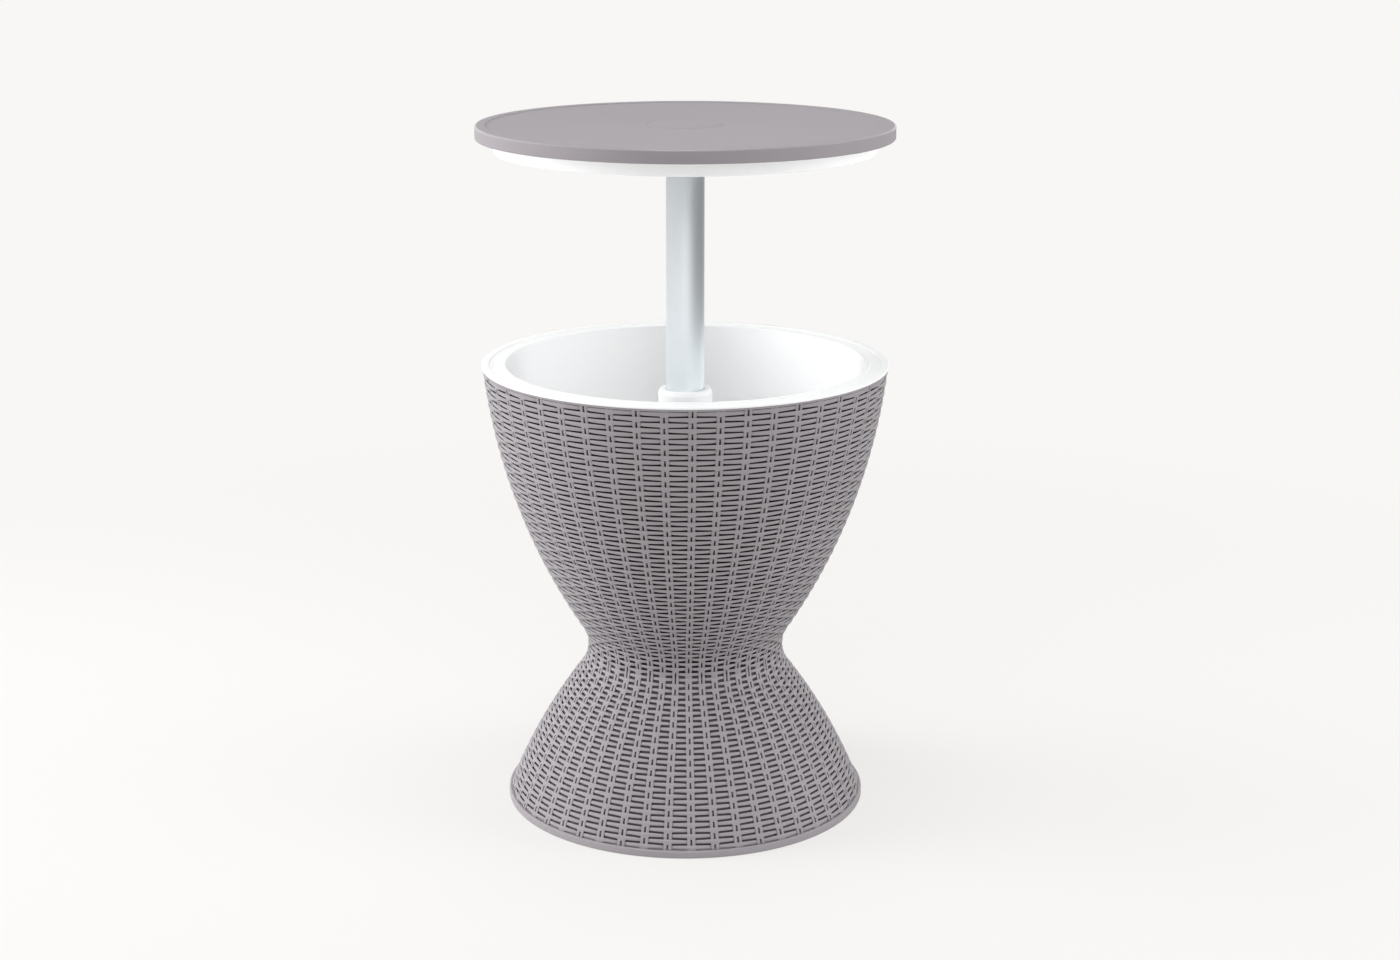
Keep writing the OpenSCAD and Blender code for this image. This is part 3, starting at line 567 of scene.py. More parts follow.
def strand_bars(name, weave, sizes, first_row):
    """Every second row of strands, each one closed round the body, that passes over every second pair"""
    course_places, dips, heights = zip(*STRAND_COURSE)
    places = course_places[:-1] + tuple(2 - place for place in reversed(course_places[:-1]))
    bar, along, section = rolled_bar(name, places)
    from_over = np.abs(along - np.rint(along / 2) * 2)
    dip = np.interp(from_over, course_places, dips)
    height_share = np.interp(from_over, course_places, heights)
    across, out = section_shape(section, STRAND_SQUARENESS)
    half = sizes.strand_thickness / 2
    lowest = -sizes.backing_depth - HIDDEN_REACH
    inward = np.maximum(-half - sizes.under_depth * dip + half * out, lowest)
    set_points(bar, along, 0.5 + 0.5 * height_share * across, inward)
    close_up(bar, FLAT_GAP)
    repeat(bar, weave.columns // 2, (2, 0, 0))
    x, y, z = vectors_of(bar)
    set_points(bar, x + (weave.first_over + first_row) % 2, y + first_row, z)
    repeat(bar, (weave.rows + 1 - first_row) // 2, (0, 2, 0))
    weave.lay(bar, is_strand=True)
    close_up(bar)
    return bar


def stake_bars(name, weave, sizes):
    """Pairs of stakes down one shell, which rise between the strands that cross them"""
    places = [row / 2 for row in range(2 * weave.rows + 1)]
    bars = []
    for middle in (-STAKE_MIDDLE, STAKE_MIDDLE):
        bar, along, section = rolled_bar(name, places)
        across, out = section_shape(section, STAKE_SQUARENESS)
        half = sizes.stake_thickness / 2
        set_points(bar, middle + STAKE_HALF * across, along, -weave.stake_depth - half + half * out)
        bars.append(bar)
    pair = join(bars, name)
    close_up(pair, FLAT_GAP)
    make_active(pair)
    bpy.ops.object.mode_set(mode="EDIT")
    bpy.ops.mesh.select_all(action="DESELECT")
    bpy.ops.mesh.select_non_manifold(extend=False)
    bpy.ops.mesh.edge_face_add()
    bpy.ops.object.mode_set(mode="OBJECT")
    repeat(pair, weave.columns, (1, 0, 0))
    x, y, z = vectors_of(pair)
    column = np.floor(x + 0.5)
    wave = np.cos(math.pi * (y - 0.5 + column + weave.first_over))
    set_points(pair, x, y, z - sizes.stake_wave * wave)
    weave.lay(pair, is_strand=False)
    close_up(pair)
    return pair


# Finishes

# Depth below the strands' crowns at which painted shade begins to darken the colour, and the way on to its
# darkest
GAP_SHADE_START = 1.5 * MM
GAP_SHADE_FADE = 1.3 * MM

# Width over which the gloss of the table's upper edge sets in
EDGE_FADE = 0.3 * MM

# Painted reflection of the white bucket: the pole grows lighter from this height down, over this span, up to
# this many times as light
REFLECTION_TOP = 0.75
REFLECTION_SPAN = 0.21
REFLECTION_LIFT = 1.42

# Noise in waves a metre: slow patches and fine speckle of the woven plastic, and lines of the metal
PATCH_WAVES = 9.0
SPECKLE_WAVES = 900.0
LINE_WAVES = 1400.0


def maths(operation, other_first=False):
    """A method that adds a Math node for its operation"""

    def add_node(self, other):
        first, second = (other, self) if other_first else (self, other)
        return self.graph.node("Math", {0: first, 1: second}, operation=operation)

    return add_node


class Wire:
    """A node's output, used in Python expressions that add Math nodes"""

    def __init__(self, graph, socket):
        self.graph = graph
        self.socket = socket

    __add__ = maths("ADD")
    __radd__ = maths("ADD")
    __sub__ = maths("SUBTRACT")
    __rsub__ = maths("SUBTRACT", other_first=True)
    __mul__ = maths("MULTIPLY")
    __truediv__ = maths("DIVIDE")
    __pow__ = maths("POWER")
    at_least = maths("MAXIMUM")
    at_most = maths("MINIMUM")

    def clamped(self):
        """Kept between zero and one"""
        return self.at_least(0.0).at_most(1.0)


class Graph:
    """The node tree of one material or of the world"""

    def __init__(self, owner):
        owner.use_nodes = True
        self.tree = owner.node_tree
        self.tree.nodes.clear()

    def node(self, kind, inputs, output=0, **settings):
        """Adds a node, sets its settings, fills its sockets and gives one of its outputs"""
        made = self.tree.nodes.new("ShaderNode" + kind)
        for setting, value in settings.items():
            setattr(made, setting, value)
        for key, value in inputs.items():
            if isinstance(value, Wire):
                self.tree.links.new(value.socket, made.inputs[key])
            else:
                made.inputs[key].default_value = value
        if made.outputs:
            return Wire(self, made.outputs[output])
        return None

    def mix(self, factor, first, second):
        """Mixes two colours"""
        return self.node("Mix", {0: factor, 6: tone(first), 7: tone(second)}, 2, data_type="RGBA")

    def noise(self, place, waves, detail):
        """Noise on the piece's own coordinates, in waves a metre"""
        return self.node("TexNoise", {"Vector": place, "Scale": waves, "Detail": detail})

    def place(self):
        return self.node("TexCoord", {}, "Object")

    def part_of(self, vector, axis):
        """One of the three numbers of a vector"""
        return self.node("SeparateXYZ", {"Vector": vector}, axis)

    def bump(self, height, distance):
        return self.node("Bump", {"Height": height, "Distance": distance, "Strength": 1.0})

    def surface(self, inputs):
        """A Principled surface with these sockets"""
        self.node("OutputMaterial", {"Surface": self.node("BsdfPrincipled", inputs)})

    def mixed_shaders(self, factor, first, second):
        return self.node("MixShader", {0: factor, 1: first, 2: second})


def tone(value):
    """Gives a plain colour the fourth number that a socket wants"""
    if isinstance(value, Wire):
        return value
    return (*tuple(value)[:3], 1.0)


def shaded(colour_value, factor):
    """A colour made lighter or darker by a factor"""
    return tuple(min(1.0, part * factor) for part in tuple(colour_value)[:3])


def new_finish(name):
    """A new material with its empty graph and the piece's own coordinates"""
    material = bpy.data.materials.new(name)
    graph = Graph(material)
    return material, graph, graph.place()


def edge_share(graph, place, high):
    """One on the rounded upper edge of the table, and zero elsewhere"""
    x, y, z = (graph.part_of(place, axis) for axis in range(3))
    fillet = TABLE_FILLET * MM
    outside = (((x * x + y * y) ** 0.5 - (high.x - fillet)) / EDGE_FADE).clamped()
    return outside * ((z - (high.z - fillet)) / EDGE_FADE).clamped()


def wicker_finish(name, base, gap, roughness, gloss, grain, glossy_edge=False):
    """Moulded plastic, with painted shade that darkens it with depth between the strands, with fine grain and
    slow patches
    """
    material, graph, place = new_finish(name)
    patches = graph.noise(place, PATCH_WAVES, 3.0)
    speckle = graph.noise(place, SPECKLE_WAVES, 3.0)
    depth = graph.node("Attribute", {}, 2, attribute_name="depth")
    # Painted shade: the colour darkens towards the gap tone with depth between the strands, where shade
    # falls, and grows rougher there
    gap_shade = ((depth - GAP_SHADE_START) / GAP_SHADE_FADE).clamped()
    body = graph.mix(patches, shaded(base, 0.95), shaded(base, 1.05))
    body = graph.mix(speckle * 0.35, body, shaded(base, 0.86))
    sockets = {
        "Base Color": graph.mix(gap_shade, body, gap),
        "Roughness": (roughness + patches * 0.08 + gap_shade * 0.3).clamped(),
        "Specular IOR Level": gloss,
        "Normal": graph.bump(speckle, grain),
    }
    if glossy_edge:
        sockets["Coat Weight"] = edge_share(graph, place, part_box("table_top")[1])
        sockets["Coat Roughness"] = 0.2
    graph.surface(sockets)
    return material


def white_finish(name, base):
    """Glossy white moulding with a slow ripple in its gloss"""
    material, graph, place = new_finish(name)
    slow = graph.noise(place, 12.0, 2.0)
    fine = graph.noise(place, 600.0, 2.0)
    graph.surface({
        "Base Color": graph.mix(slow, shaded(base, 0.985), shaded(base, 1.01)),
        "Roughness": 0.3 + slow * 0.1,
        "Specular IOR Level": 0.35,
        "Normal": graph.bump(fine, 0.02 * MM),
    })
    return material


def metal_finish(name, base, roughness, drawn):
    """Satin metal; drawn metal has fine lines along the pole, and a painted reflection of the white bucket
    lightens it towards the pole's foot
    """
    material, graph, place = new_finish(name)
    stretch = (1, 1, 0.01) if drawn else (1, 1, 1)
    stretched = graph.node("Mapping", {"Vector": place, "Scale": stretch})
    lines = graph.noise(stretched, LINE_WAVES, 3.0)
    slow = graph.noise(place, 14.0, 2.0)
    # Painted reflection: on the drawn pole, a mask that grows towards its foot and mixes in a lighter copy of
    # the metal
    low = ((REFLECTION_TOP - graph.part_of(place, 2)) / REFLECTION_SPAN).clamped() if drawn else slow
    light = shaded(base, REFLECTION_LIFT if drawn else 1.05)
    body = graph.mix(lines, shaded(base, 0.94), shaded(base, 1.05))
    graph.surface({
        "Base Color": graph.mix(low, body, light),
        "Metallic": 1.0,
        "Roughness": roughness + lines * 0.08 + slow * 0.05,
        "Normal": graph.bump(lines, 0.01 * MM),
    })
    return material


def moulded_finish(name, base, roughness, grain_waves):
    """Plain moulded plastic or rubber with a fine grain"""
    material, graph, place = new_finish(name)
    fine = graph.noise(place, grain_waves, 3.0)
    slow = graph.noise(place, 20.0, 2.0)
    graph.surface({
        "Base Color": graph.mix(slow, shaded(base, 0.93), shaded(base, 1.05)),
        "Roughness": roughness + fine * 0.12,
        "Normal": graph.bump(fine, 0.04 * MM),
    })
    return material


# The lower base's finish is a lit copy of the woven one, with painted light in its lighter colours
SHELL_FINISHES = {"upper": "woven_plastic", "lower": "skirt_plastic"}
FINISHES = {}


def finish(name):
    """The finish of that name, made when it is first asked for"""
    if name in FINISHES:
        return FINISHES[name]
    colours = bpy.context.scene.garden_finishes
    makers = {
        "woven_plastic": (wicker_finish, colours.wicker, colours.gap, 0.36, 0.5, 0.05 * MM),
        "skirt_plastic": (wicker_finish, colours.skirt, colours.skirt_gap_shade, 0.36, 0.5, 0.05 * MM),
        "table_plastic": (wicker_finish, colours.wicker, colours.gap, 0.58, 0.18, 0.03 * MM, True),
        "glossy_white": (white_finish, colours.white),
        "anodised_pole": (metal_finish, colours.metal, 0.4, True),
        "stainless_steel": (metal_finish, colours.steel, 0.28, False),
        "guide_nylon": (moulded_finish, colours.nylon, 0.42, 700.0),
        "black_rubber": (moulded_finish, colours.rubber, 0.6, 500.0),
    }
    maker, *settings = makers[name]
    FINISHES[name] = maker(name, *settings)
    return FINISHES[name]


def finish_woven(piece, weave):
    """Finishes strands or stakes like the shell that they belong to"""
    look = SHELL_FINISHES[weave.part]
    finish_piece(piece, "base", look, [weave.node], WOVEN_SHARP_ANGLE)


# Operators

# A point with a normal that points outwards by this share or more is on a shell's outer side
OUTER_SIDE = 0.3
SIDE_STEPS = 400

# The lower base's lip, which the upper shell's flange sits round, and the bore of that flange
LIP_WIDTH = 3 * MM
LIP_HEIGHT = 6 * MM
LIP_SEAT = 3.3 * MM


def body_side():
    return BodySide(bpy.context.scene.garden_body)


def mark_depth(piece, side):
    """Keeps how deep each point of a shell's outer side lies below the crowns, for the painted shade, and
    zero elsewhere
    """
    x, y, z = vectors_of(piece)
    across, along, _ = vectors_of(piece, "normal")
    radius = np.hypot(x, y)
    outward = (x * across + y * along) / radius
    runs = np.linspace(0, side.band_run, SIDE_STEPS)
    radii, heights = side.points(runs, 0)
    surface = np.interp(z, heights[::-1], radii[::-1])
    depth = np.clip(surface - radius, 0, None)
    depth[outward < OUTER_SIDE] = 0
    depth[z <= side.band_height + MERGE_GAP] = 0
    depth[z >= side.top_height - bpy.context.scene.garden_weave.border] = 0
    keep_depth(piece, depth)


class GardenPiece(bpy.types.Operator):
    """Shared settings of the operators"""

    bl_options = {"REGISTER", "UNDO"}


class GARDEN_OT_upper_shell(GardenPiece):
    """Turns the upper shell's backing, with its border and its seam flange"""

    bl_idname = "garden.upper_shell"
    bl_label = "Upper shell"

    def execute(self, context):
        body = context.scene.garden_body
        weave = context.scene.garden_weave
        side = body_side()
        seam = side.seam_height
        flange_top = seam + body.flange_thickness
        bore = side.radius_at(side.seam_run) - body.wall - body.flange_width + LIP_SEAT
        border_inset = 0.2 * MM
        first_groove = weave.border + 0.5 * MM
        outline = side.outline(0, weave.border, border_inset, 2)
        outline += side.outline(first_groove, side.seam_run, weave.backing_depth, 60)
        outline += [(bore, seam), (bore, flange_top)]
        outline += side.outline(side.run_at(flange_top), 0, body.wall, 40)
        shell = turned("upper_backing", outline)
        bosses = [cylinder("boss", 5 * MM, seam, seam + 12 * MM, (x, y))
                  for x, y, _ in around(6, bore + 7.7 * MM, math.pi / 6)]
        shell = join([shell, *bosses], "upper_backing")
        mark_depth(shell, side)
        finish_piece(shell, "base", "woven_plastic", ["upper_shell"])
        return {"FINISHED"}


class GARDEN_OT_lower_base(GardenPiece):
    """Turns the lower base's backing, with its foot band, seam flange and the web round the guide"""

    bl_idname = "garden.lower_base"
    bl_label = "Lower base"

    def execute(self, context):
        body = context.scene.garden_body
        weave = context.scene.garden_weave
        side = body_side()
        seam = side.seam_height
        band = side.band_height
        bore = side.radius_at(side.seam_run) - body.wall - body.flange_width
        flange_low = seam - body.flange_thickness
        lip = bore + LIP_WIDTH
        lip_top = seam + LIP_HEIGHT
        foot = side.foot_radius
        inner = foot - body.foot_ring
        outline = rounded([(inner, 0, 0), (foot, 0, 1), (foot, band, 2),
                           (foot - 6 * MM, band, 0)])[:-1]
        outline += side.outline(side.band_run, side.seam_run, weave.backing_depth, 40)
        outline += [(lip, seam), (lip, lip_top), (bore, lip_top), (bore, flange_low)]
        outline += side.outline(side.run_at(flange_low), side.run_at(band + 2 * MM), body.wall, 30)
        outline += [(inner, band - 2 * MM)]
        shell = turned("lower_backing", outline)
        hub_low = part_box("base_nut")[1].z
        hub_in, hub_out = 27.8 * MM, 32.8 * MM
        hub = turned("hub", rounded([(hub_in, hub_low, 0), (hub_out, hub_low, 0.5),
                                     (hub_out, seam, 0.5), (hub_in, seam, 0)], 3), 96)
        ribs = radial_ribs(around(6, 1), start=30.5 * MM, end=bore + 1 * MM, middle=seam - 10 * MM,
                           width=4 * MM, height=20 * MM, bevel=0.8 * MM, segments=2)
        shell = join([shell, hub, *ribs], "lower_backing")
        mark_depth(shell, side)
        finish_piece(shell, "base", "skirt_plastic", ["lower_base"])
        return {"FINISHED"}


class GARDEN_OT_strands(GardenPiece):
    """Weaves the strands round both shells"""

    bl_idname = "garden.strands"
    bl_label = "Strands"

    def execute(self, context):
        sizes = context.scene.garden_weave
        for part in SHELL_FINISHES:
            weave = WeaveMap(body_side(), sizes, part)
            for first_row, word in enumerate(("odd", "even")):
                strands = strand_bars(f"{part}_strands_{word}", weave, sizes, first_row)
                finish_woven(strands, weave)
        return {"FINISHED"}


class GARDEN_OT_stakes(GardenPiece):
    """Stands the pairs of stakes round both shells"""

    bl_idname = "garden.stakes"
    bl_label = "Stakes"

    def execute(self, context):
        sizes = context.scene.garden_weave
        for part in SHELL_FINISHES:
            weave = WeaveMap(body_side(), sizes, part)
            stakes = stake_bars(f"{part}_stakes", weave, sizes)
            finish_woven(stakes, weave)
        return {"FINISHED"}


class GARDEN_OT_bucket(GardenPiece):
    """Turns the white bucket: its rim with a shallow channel, the bowl and the centre column"""

    bl_idname = "garden.bucket"
    bl_label = "Bucket"

    def execute(self, context):
        low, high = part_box("bucket_liner")
        rim, rim_z, floor_z = high.x, high.z, low.z + 3 * MM
        shell_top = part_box("upper_shell")[1].z
        mouth = rim - 28.5 * MM
        foot = 160 * MM
        wall = 3 * MM
        side_radius = 700 * MM
        centre = arc_centre(Vector((foot, floor_z)), Vector((mouth, rim_z - 1 * MM)), side_radius)
        corner = 24 * MM
        corner_z = floor_z + corner
        corner_x = centre.x + math.sqrt((side_radius - corner) ** 2 - (corner_z - centre.y) ** 2)
        low_turn = math.atan2(corner_z - centre.y, corner_x - centre.x)
        high_turn = math.asin((rim_z - 2 * MM - centre.y) / side_radius)
        under = shell_top - 1.5 * MM
        rib_low = shell_top - 8 * MM
        outer_turn = math.asin((under - centre.y) / (side_radius + wall))
        flange_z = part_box("guide_sleeve")[1].z - 3 * MM
        neck_z = flange_z - 13.5 * MM
        channel = rim_z - 0.8 * MM
        column, column_bore, floor_bore = 29.8 * MM, 27.8 * MM, 33.5 * MM
        blend, blend_x = 8 * MM, 44 * MM
        rib_out = body_side().radius_at(9 * MM, 4.5 * MM)
        rib_in = rib_out - 2.5 * MM
        outline = rounded([
            (rib_out, shell_top, 0), (rim, shell_top, 0.4), (rim, rim_z, 0.9),
            (rim - 8.5 * MM, rim_z, 0.5), (rim - 9.3 * MM, channel, 0.5),
            (mouth + 6.8 * MM, channel, 0.5), (mouth + 6 * MM, rim_z, 0.5),
            (mouth, rim_z, 0.9), (mouth - 0.6 * MM, rim_z - 3 * MM, 0)], 4)[:-1]
        outline += arc_points(centre, side_radius, high_turn, low_turn, 40)
        outline += arc_points((corner_x, corner_z), corner, low_turn, -math.pi / 2, 14)[1:]
        outline += arc_points((blend_x, floor_z + blend), blend, -math.pi / 2, -math.pi, 8)
        outline += [(column, neck_z), (column, flange_z), (column_bore, flange_z), (column_bore, neck_z),
                    (floor_bore, floor_z - wall)]
        outline += arc_points((corner_x, corner_z), corner + wall, -math.pi / 2, low_turn, 10)
        outline += arc_points(centre, side_radius + wall, low_turn, outer_turn, 30)[1:]
        outline += [(rib_in, under), (rib_in, rib_low), (rib_out, rib_low)]
        bucket = turned("bucket", outline, WIDE_STEPS)
        drain_low, drain_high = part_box("drain_fitting")
        drain_x = (drain_low.x + drain_high.x) / 2
        hole = cylinder("hole", 13 * MM, floor_z - 6 * MM, floor_z + 1 * MM, (drain_x, 0))
        cut_out(bucket, [hole])
        finish_piece(bucket, "base", "glossy_white", ["bucket_liner"])
        return {"FINISHED"}


class GARDEN_OT_collar(GardenPiece):
    """Turns the white collar that caps the column"""

    bl_idname = "garden.collar"
    bl_label = "Collar"

    def execute(self, context):
        low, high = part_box("pole_collar")
        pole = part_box("pole_tube")[1].x
        seat = high.z - 9.5 * MM
        lip = seat + 6 * MM
        outer, top, bore = high.x, 29 * MM, 30.1 * MM
        seal, hole = 27.4 * MM, pole + 0.4 * MM
        outline = rounded([
            (bore, low.z, 0), (outer, low.z, 0.8), (outer, high.z - 4.5 * MM, 1.6),
            (top + 0.6 * MM, high.z, 1.4), (hole, high.z, 1), (hole, lip, 0),
            (seal, lip, 0), (seal, seat, 0), (bore, seat, 0)])
        collar = turned("collar", outline)
        finish_piece(collar, "base", "glossy_white", ["pole_collar"])
        return {"FINISHED"}


class GARDEN_OT_pole(GardenPiece):
    """Turns the anodised pole, a tube with a groove for its clip"""

    bl_idname = "garden.pole"
    bl_label = "Pole"

    def execute(self, context):
        low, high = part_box("pole_tube")
        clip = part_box("runner_clip")[0].z
        outer, inner, groove = high.x, high.x - 1.5 * MM, high.x - 0.6 * MM
        clip_top = clip + 1.6 * MM
        edge = 0.3
        outline = rounded([
            (inner, low.z, edge), (outer, low.z, edge), (outer, clip, 0), (groove, clip, 0),
            (groove, clip_top, 0), (outer, clip_top, 0), (outer, high.z, edge), (inner, high.z, edge)], 3)
        pole = turned("pole", outline)
        finish_piece(pole, "top", "anodised_pole", ["pole_tube"])
        return {"FINISHED"}


class GARDEN_OT_table(GardenPiece):
    """Turns the round table: a recessed surface inside a soft raised rim"""

    bl_idname = "garden.table"
    bl_label = "Table top"

    def execute(self, context):
        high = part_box("table_top")[1]
        radius, top = high.x, high.z
        band = top - TABLE_BAND
        surface = top - 1.2 * MM
        skin = surface - 3.5 * MM
        ledge = radius - 12 * MM
        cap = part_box("centre_cap")[1].x + 0.3 * MM
        pocket = surface - 2.5 * MM
        seat = pocket - 5 * MM
        boss_low = top - 19 * MM
        boss_in, boss_out, hub = 16 * MM, 20 * MM, 52 * MM
        wall = radius - 4 * MM
        outline = rounded([
            (cap, surface, 0.5), (cap, pocket, 0), (boss_in, pocket, 0), (boss_in, boss_low, 0),
            (boss_out, boss_low, 0), (boss_out, seat, 0), (hub, seat, 0),
            (hub, skin, 0), (wall, skin, 1), (wall, band, 0.6), (radius, band, 2),
            (radius, top, TABLE_FILLET), (ledge, top, 0.5), (ledge - 0.8 * MM, surface, 0.5)])
        table = turned("table", outline, WIDE_STEPS)
        ribs = radial_ribs(around(12, 1, math.radians(15)), start=boss_out, end=radius - 26 * MM,
                           middle=skin - 6.5 * MM, width=2.4 * MM, height=14 * MM, bevel=0.4 * MM, segments=1)
        table = join([table, *ribs], "table")
        finish_piece(table, "top", "table_plastic", ["table_top"])
        return {"FINISHED"}


class GARDEN_OT_cap(GardenPiece):
    """Turns the round cap in the middle of the table"""

    bl_idname = "garden.cap"
    bl_label = "Centre cap"

    def execute(self, context):
        low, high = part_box("centre_cap")
        seat = high.z - 3 * MM
        plug_out, plug_in = 15.7 * MM, 13.7 * MM
        outline = rounded([
            (0, high.z, 0), (high.x - 8 * MM, high.z, 6), (high.x, high.z - 0.5 * MM, 0.5),
            (high.x, seat, 0), (plug_out, seat, 0), (plug_out, low.z, 0.4),
            (plug_in, low.z, 0.4), (plug_in, seat, 0), (0, seat, 0)])
        cap = turned("cap", outline, closed=False)
        finish_piece(cap, "top", "table_plastic", ["centre_cap"])
        return {"FINISHED"}


class GARDEN_OT_plate(GardenPiece):
    """Turns the white plate under the table, with a low ring inside the circle of its screws"""

    bl_idname = "garden.plate"
    bl_label = "White plate"

    def execute(self, context):
        low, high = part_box("under_plate")
        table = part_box("table_top")[1]
        tray, tray_top = high.x, high.z
        band = table.z - TABLE_BAND
        plate = table.x - 21 * MM
        wall = 3.5 * MM
        plate_z = low.z + 8.5 * MM
        inner_z = plate_z + wall
        ring = 140 * MM
        screws = 150 * MM
        hole = 28.9 * MM
        sleeve = hole + 3 * MM
        sleeve_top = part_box("pole_hub")[1].z - 5 * MM
        outline = rounded([
            (hole, plate_z, 0.3), (ring - wall, plate_z, 1.2), (ring - wall, low.z, 1),
            (ring, low.z, 1.2), (ring, plate_z, 1), (plate, plate_z, 2),
            (plate, band, 0), (tray, band, 0.3), (tray, tray_top, 0.3),
            (plate - wall, tray_top, 0), (plate - wall, inner_z, 1),
            (sleeve, inner_z, 0.5), (sleeve, sleeve_top, 0.5), (hole, sleeve_top, 0.5)])
        piece = turned("plate", outline, WIDE_STEPS)
        recesses = [cylinder("recess", 4.3 * MM, plate_z - 1 * MM, plate_z + 2 * MM, (x, y), 32)
                    for x, y, _ in around(6, screws)]
        cut_out(piece, recesses)
        finish_piece(piece, "top", "glossy_white", ["under_plate"])
        return {"FINISHED"}


CAD_FINISHES = {
    "glossy_white": ("drain_fitting", "drain_nut", "drain_plug"),
    "guide_nylon": ("guide_sleeve", "pole_bush", "floor_nut", "base_nut", "sleeve_end_cap", "pole_runner",
                    "pole_hub", "pole_head_plug", "pole_foot_plug"),
    "stainless_steel": ("waist_screws", "plate_screws", "hub_screws", "pole_bolt", "bolt_washer",
                        "runner_clip"),
    "black_rubber": ("pole_seal", "floor_gasket", "drain_gasket", "plug_seal"),
}


class GARDEN_OT_inner_pieces(GardenPiece):
    """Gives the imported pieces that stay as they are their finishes"""

    bl_idname = "garden.inner_pieces"
    bl_label = "Inner pieces"

    def execute(self, context):
        for name, nodes in CAD_FINISHES.items():
            for node in nodes:
                dress(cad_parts[node], finish(name))
        return {"FINISHED"}


# How pale the floor is to light and to the eye, as shares of the backdrop's tone
FLOOR_LIGHT = 0.85
FLOOR_TONE = 0.84

# The floor shows shade by this share up to this distance, and then less and less over the next
SHADE_SHARE = 0.28
SHADE_START = 0.5
SHADE_FADE = 1.4

# Width of the step from the light side of the room to the dark one
FLAG_FADE = 0.45

# Rays that show the backdrop to the camera, straight or by way of a surface
SEEING_RAYS = ("Is Camera Ray", "Is Glossy Ray", "Is Transmission Ray")


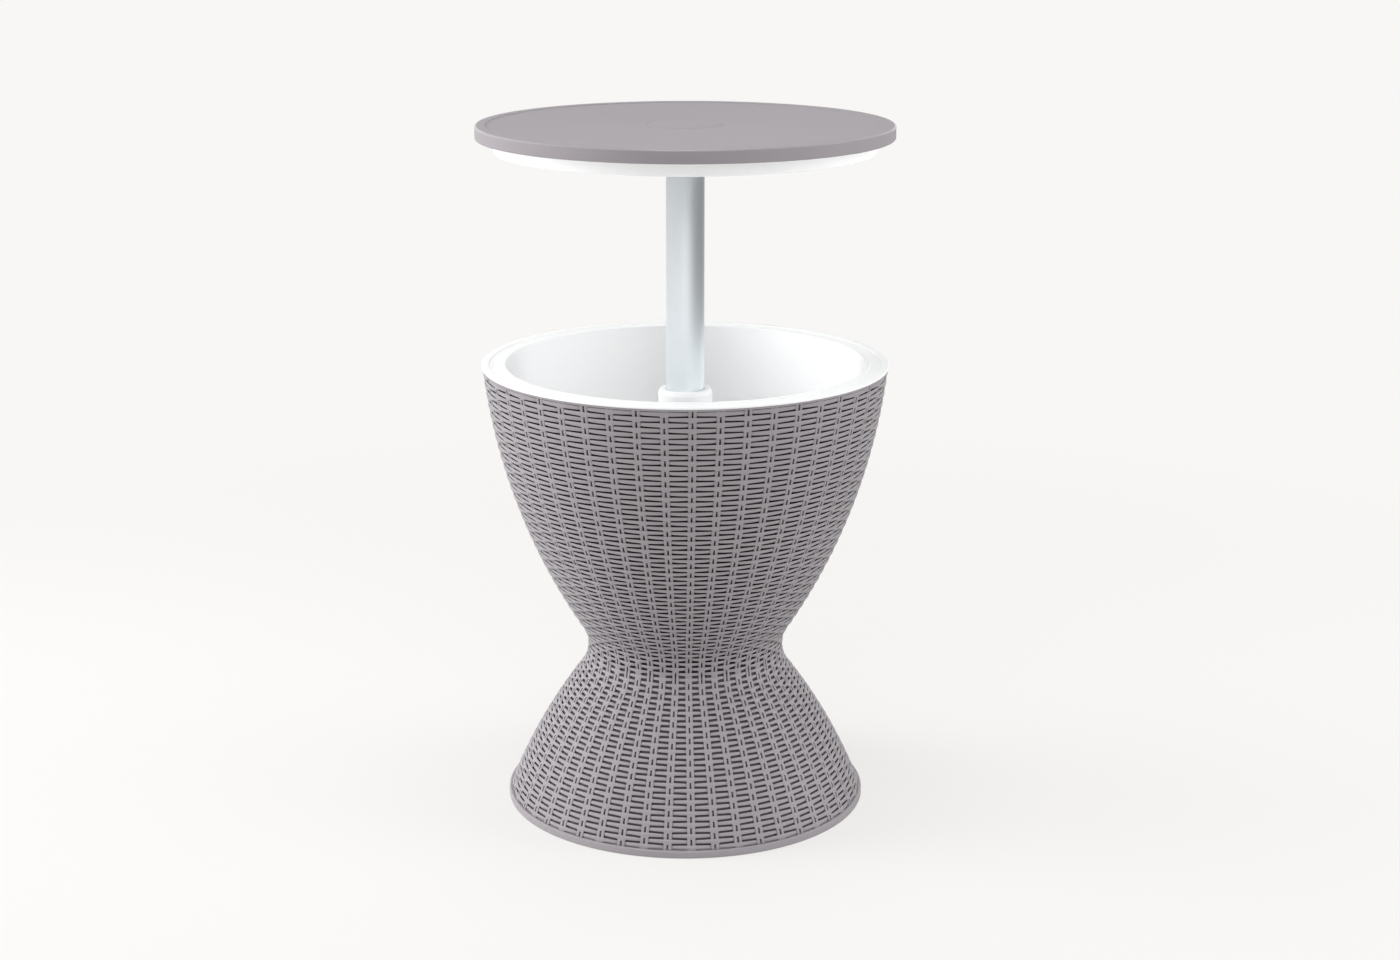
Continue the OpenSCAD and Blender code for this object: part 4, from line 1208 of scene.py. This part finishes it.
class GARDEN_OT_stage(GardenPiece):
    """Sets the floor, the even light, the lamps and the camera"""

    bl_idname = "garden.stage"
    bl_label = "Stage"

    def execute(self, context):
        stage = context.scene.garden_stage
        self.floor(stage)
        self.world(stage)
        self.lamps(stage)
        self.camera(stage)
        context.scene.view_settings.view_transform = "Standard"
        return {"FINISHED"}

    def floor(self, stage):
        backdrop = bpy.context.scene.garden_finishes.backdrop
        deselect_all()
        bpy.ops.mesh.primitive_circle_add(vertices=96, radius=60, fill_type="NGON")
        floor = named("floor")
        material, graph, place = new_finish("pale_floor")
        distance = graph.node("VectorMath", {0: place}, 1, operation="LENGTH")
        near = 1 - ((distance - SHADE_START) / SHADE_FADE).clamped()
        lit = graph.node("BsdfDiffuse", {"Color": tone(shaded(backdrop, FLOOR_LIGHT))})
        pale = graph.node("BsdfDiffuse", {"Color": tone(shaded(backdrop, FLOOR_TONE))})
        way = graph.node("VectorMath", {0: place}, operation="NORMALIZE")
        plain = graph.node("Emission", {"Color": self.flagged(graph, way, stage)})
        shown = graph.mixed_shaders(near * SHADE_SHARE, plain, pale)
        both = graph.mixed_shaders(self.sees(graph), lit, shown)
        graph.node("OutputMaterial", {"Surface": both})
        dress(floor, material)

    def sees(self, graph):
        """One for a ray that shows the backdrop to the camera, straight or by a reflection"""
        camera, glossy, transmitted = (graph.node("LightPath", {}, name) for name in SEEING_RAYS)
        return (camera + glossy + transmitted).clamped()

    def flagged(self, graph, way, stage):
        """The backdrop's tone, darker at the right to a glossy ray, for the pole's shading"""
        to_right = ((graph.part_of(way, 0) - stage.flag_start) / FLAG_FADE).clamped()
        glossy = graph.node("LightPath", {}, "Is Glossy Ray")
        backdrop = bpy.context.scene.garden_finishes.backdrop
        return graph.mix(glossy * to_right * stage.flag_depth, backdrop, (0.0, 0.0, 0.0))

    def world(self, stage):
        world = bpy.data.worlds.new("pale_world")
        bpy.context.scene.world = world
        graph = Graph(world)
        way = graph.node("TexCoord", {}, "Generated")
        light = graph.node("Background", {"Color": (1, 1, 1, 1), "Strength": stage.world_level})
        shade = self.flagged(graph, way, stage)
        shown = graph.node("Background", {"Color": shade, "Strength": 1.0})
        both = graph.mixed_shaders(self.sees(graph), light, shown)
        graph.node("OutputWorld", {"Surface": both})

    def lamps(self, stage):
        aim = Vector((0, 0, 0.42))
        lamps = (
            ("left_lamp", (-2.3, 0.15, 1.2), (1.2, 1.6), stage.left_power),
            ("right_lamp", (2.3, -0.2, 1.2), (1.2, 1.6), stage.right_power),
            ("key_lamp", (-0.65, -1.1, 2.6), (1.0, 1.0), stage.key_power),
            ("front_lamp", (0, -2.5, 1.9), (1.4, 0.8), stage.front_power),
            ("top_lamp", (0, 0, 3.0), (0.6, 0.6), stage.top_power),
        )
        for name, place, size, power in lamps:
            bpy.ops.object.light_add(type="AREA", location=place)
            lamp = named(name)
            lamp.data.shape = "RECTANGLE"
            lamp.data.size, lamp.data.size_y = size
            lamp.data.energy = power
            lamp.visible_glossy = not name.startswith(("left", "right"))
            lamp.rotation_euler = (aim - Vector(place)).to_track_quat("-Z", "Y").to_euler()

    def camera(self, stage):
        bpy.ops.object.camera_add(location=(0, -stage.camera_distance, stage.camera_height),
                                  rotation=(math.pi / 2 - stage.camera_pitch, 0, 0))
        camera = named("camera")
        camera.data.lens = stage.camera_lens
        camera.data.sensor_width = 36
        camera.data.sensor_fit = "HORIZONTAL"
        camera.data.shift_x = stage.camera_shift
        camera.data.clip_end = 200
        bpy.context.scene.camera = camera


OPERATORS = (
    GARDEN_OT_upper_shell, GARDEN_OT_lower_base, GARDEN_OT_strands, GARDEN_OT_stakes, GARDEN_OT_bucket,
    GARDEN_OT_collar, GARDEN_OT_pole, GARDEN_OT_table, GARDEN_OT_cap, GARDEN_OT_plate, GARDEN_OT_inner_pieces,
    GARDEN_OT_stage,
)
GROUPS = {
    "garden_body": GardenBodySizes,
    "garden_weave": GardenWeaveSizes,
    "garden_finishes": GardenFinishes,
    "garden_stage": GardenStageSizes,
}


class GARDEN_PT_panel(bpy.types.Panel):
    """Lists the operators in the order in which they run"""

    bl_label = "Garden table"
    bl_idname = "GARDEN_PT_panel"
    bl_space_type = "VIEW_3D"
    bl_region_type = "UI"
    bl_category = "Garden table"

    def draw(self, context):
        for operator in OPERATORS:
            self.layout.operator(operator.bl_idname)


def register():
    for group in GROUPS.values():
        bpy.utils.register_class(group)
    for name, group in GROUPS.items():
        setattr(bpy.types.Scene, name, PointerProperty(type=group))
    for operator in OPERATORS:
        bpy.utils.register_class(operator)
    bpy.utils.register_class(GARDEN_PT_panel)


def unregister():
    bpy.utils.unregister_class(GARDEN_PT_panel)
    for operator in reversed(OPERATORS):
        bpy.utils.unregister_class(operator)
    for name, group in reversed(GROUPS.items()):
        delattr(bpy.types.Scene, name)
        bpy.utils.unregister_class(group)


def main():
    register()
    for operator in OPERATORS:
        group, name = operator.bl_idname.split(".")
        getattr(getattr(bpy.ops, group), name)()


if __name__ == "__main__":
    main()
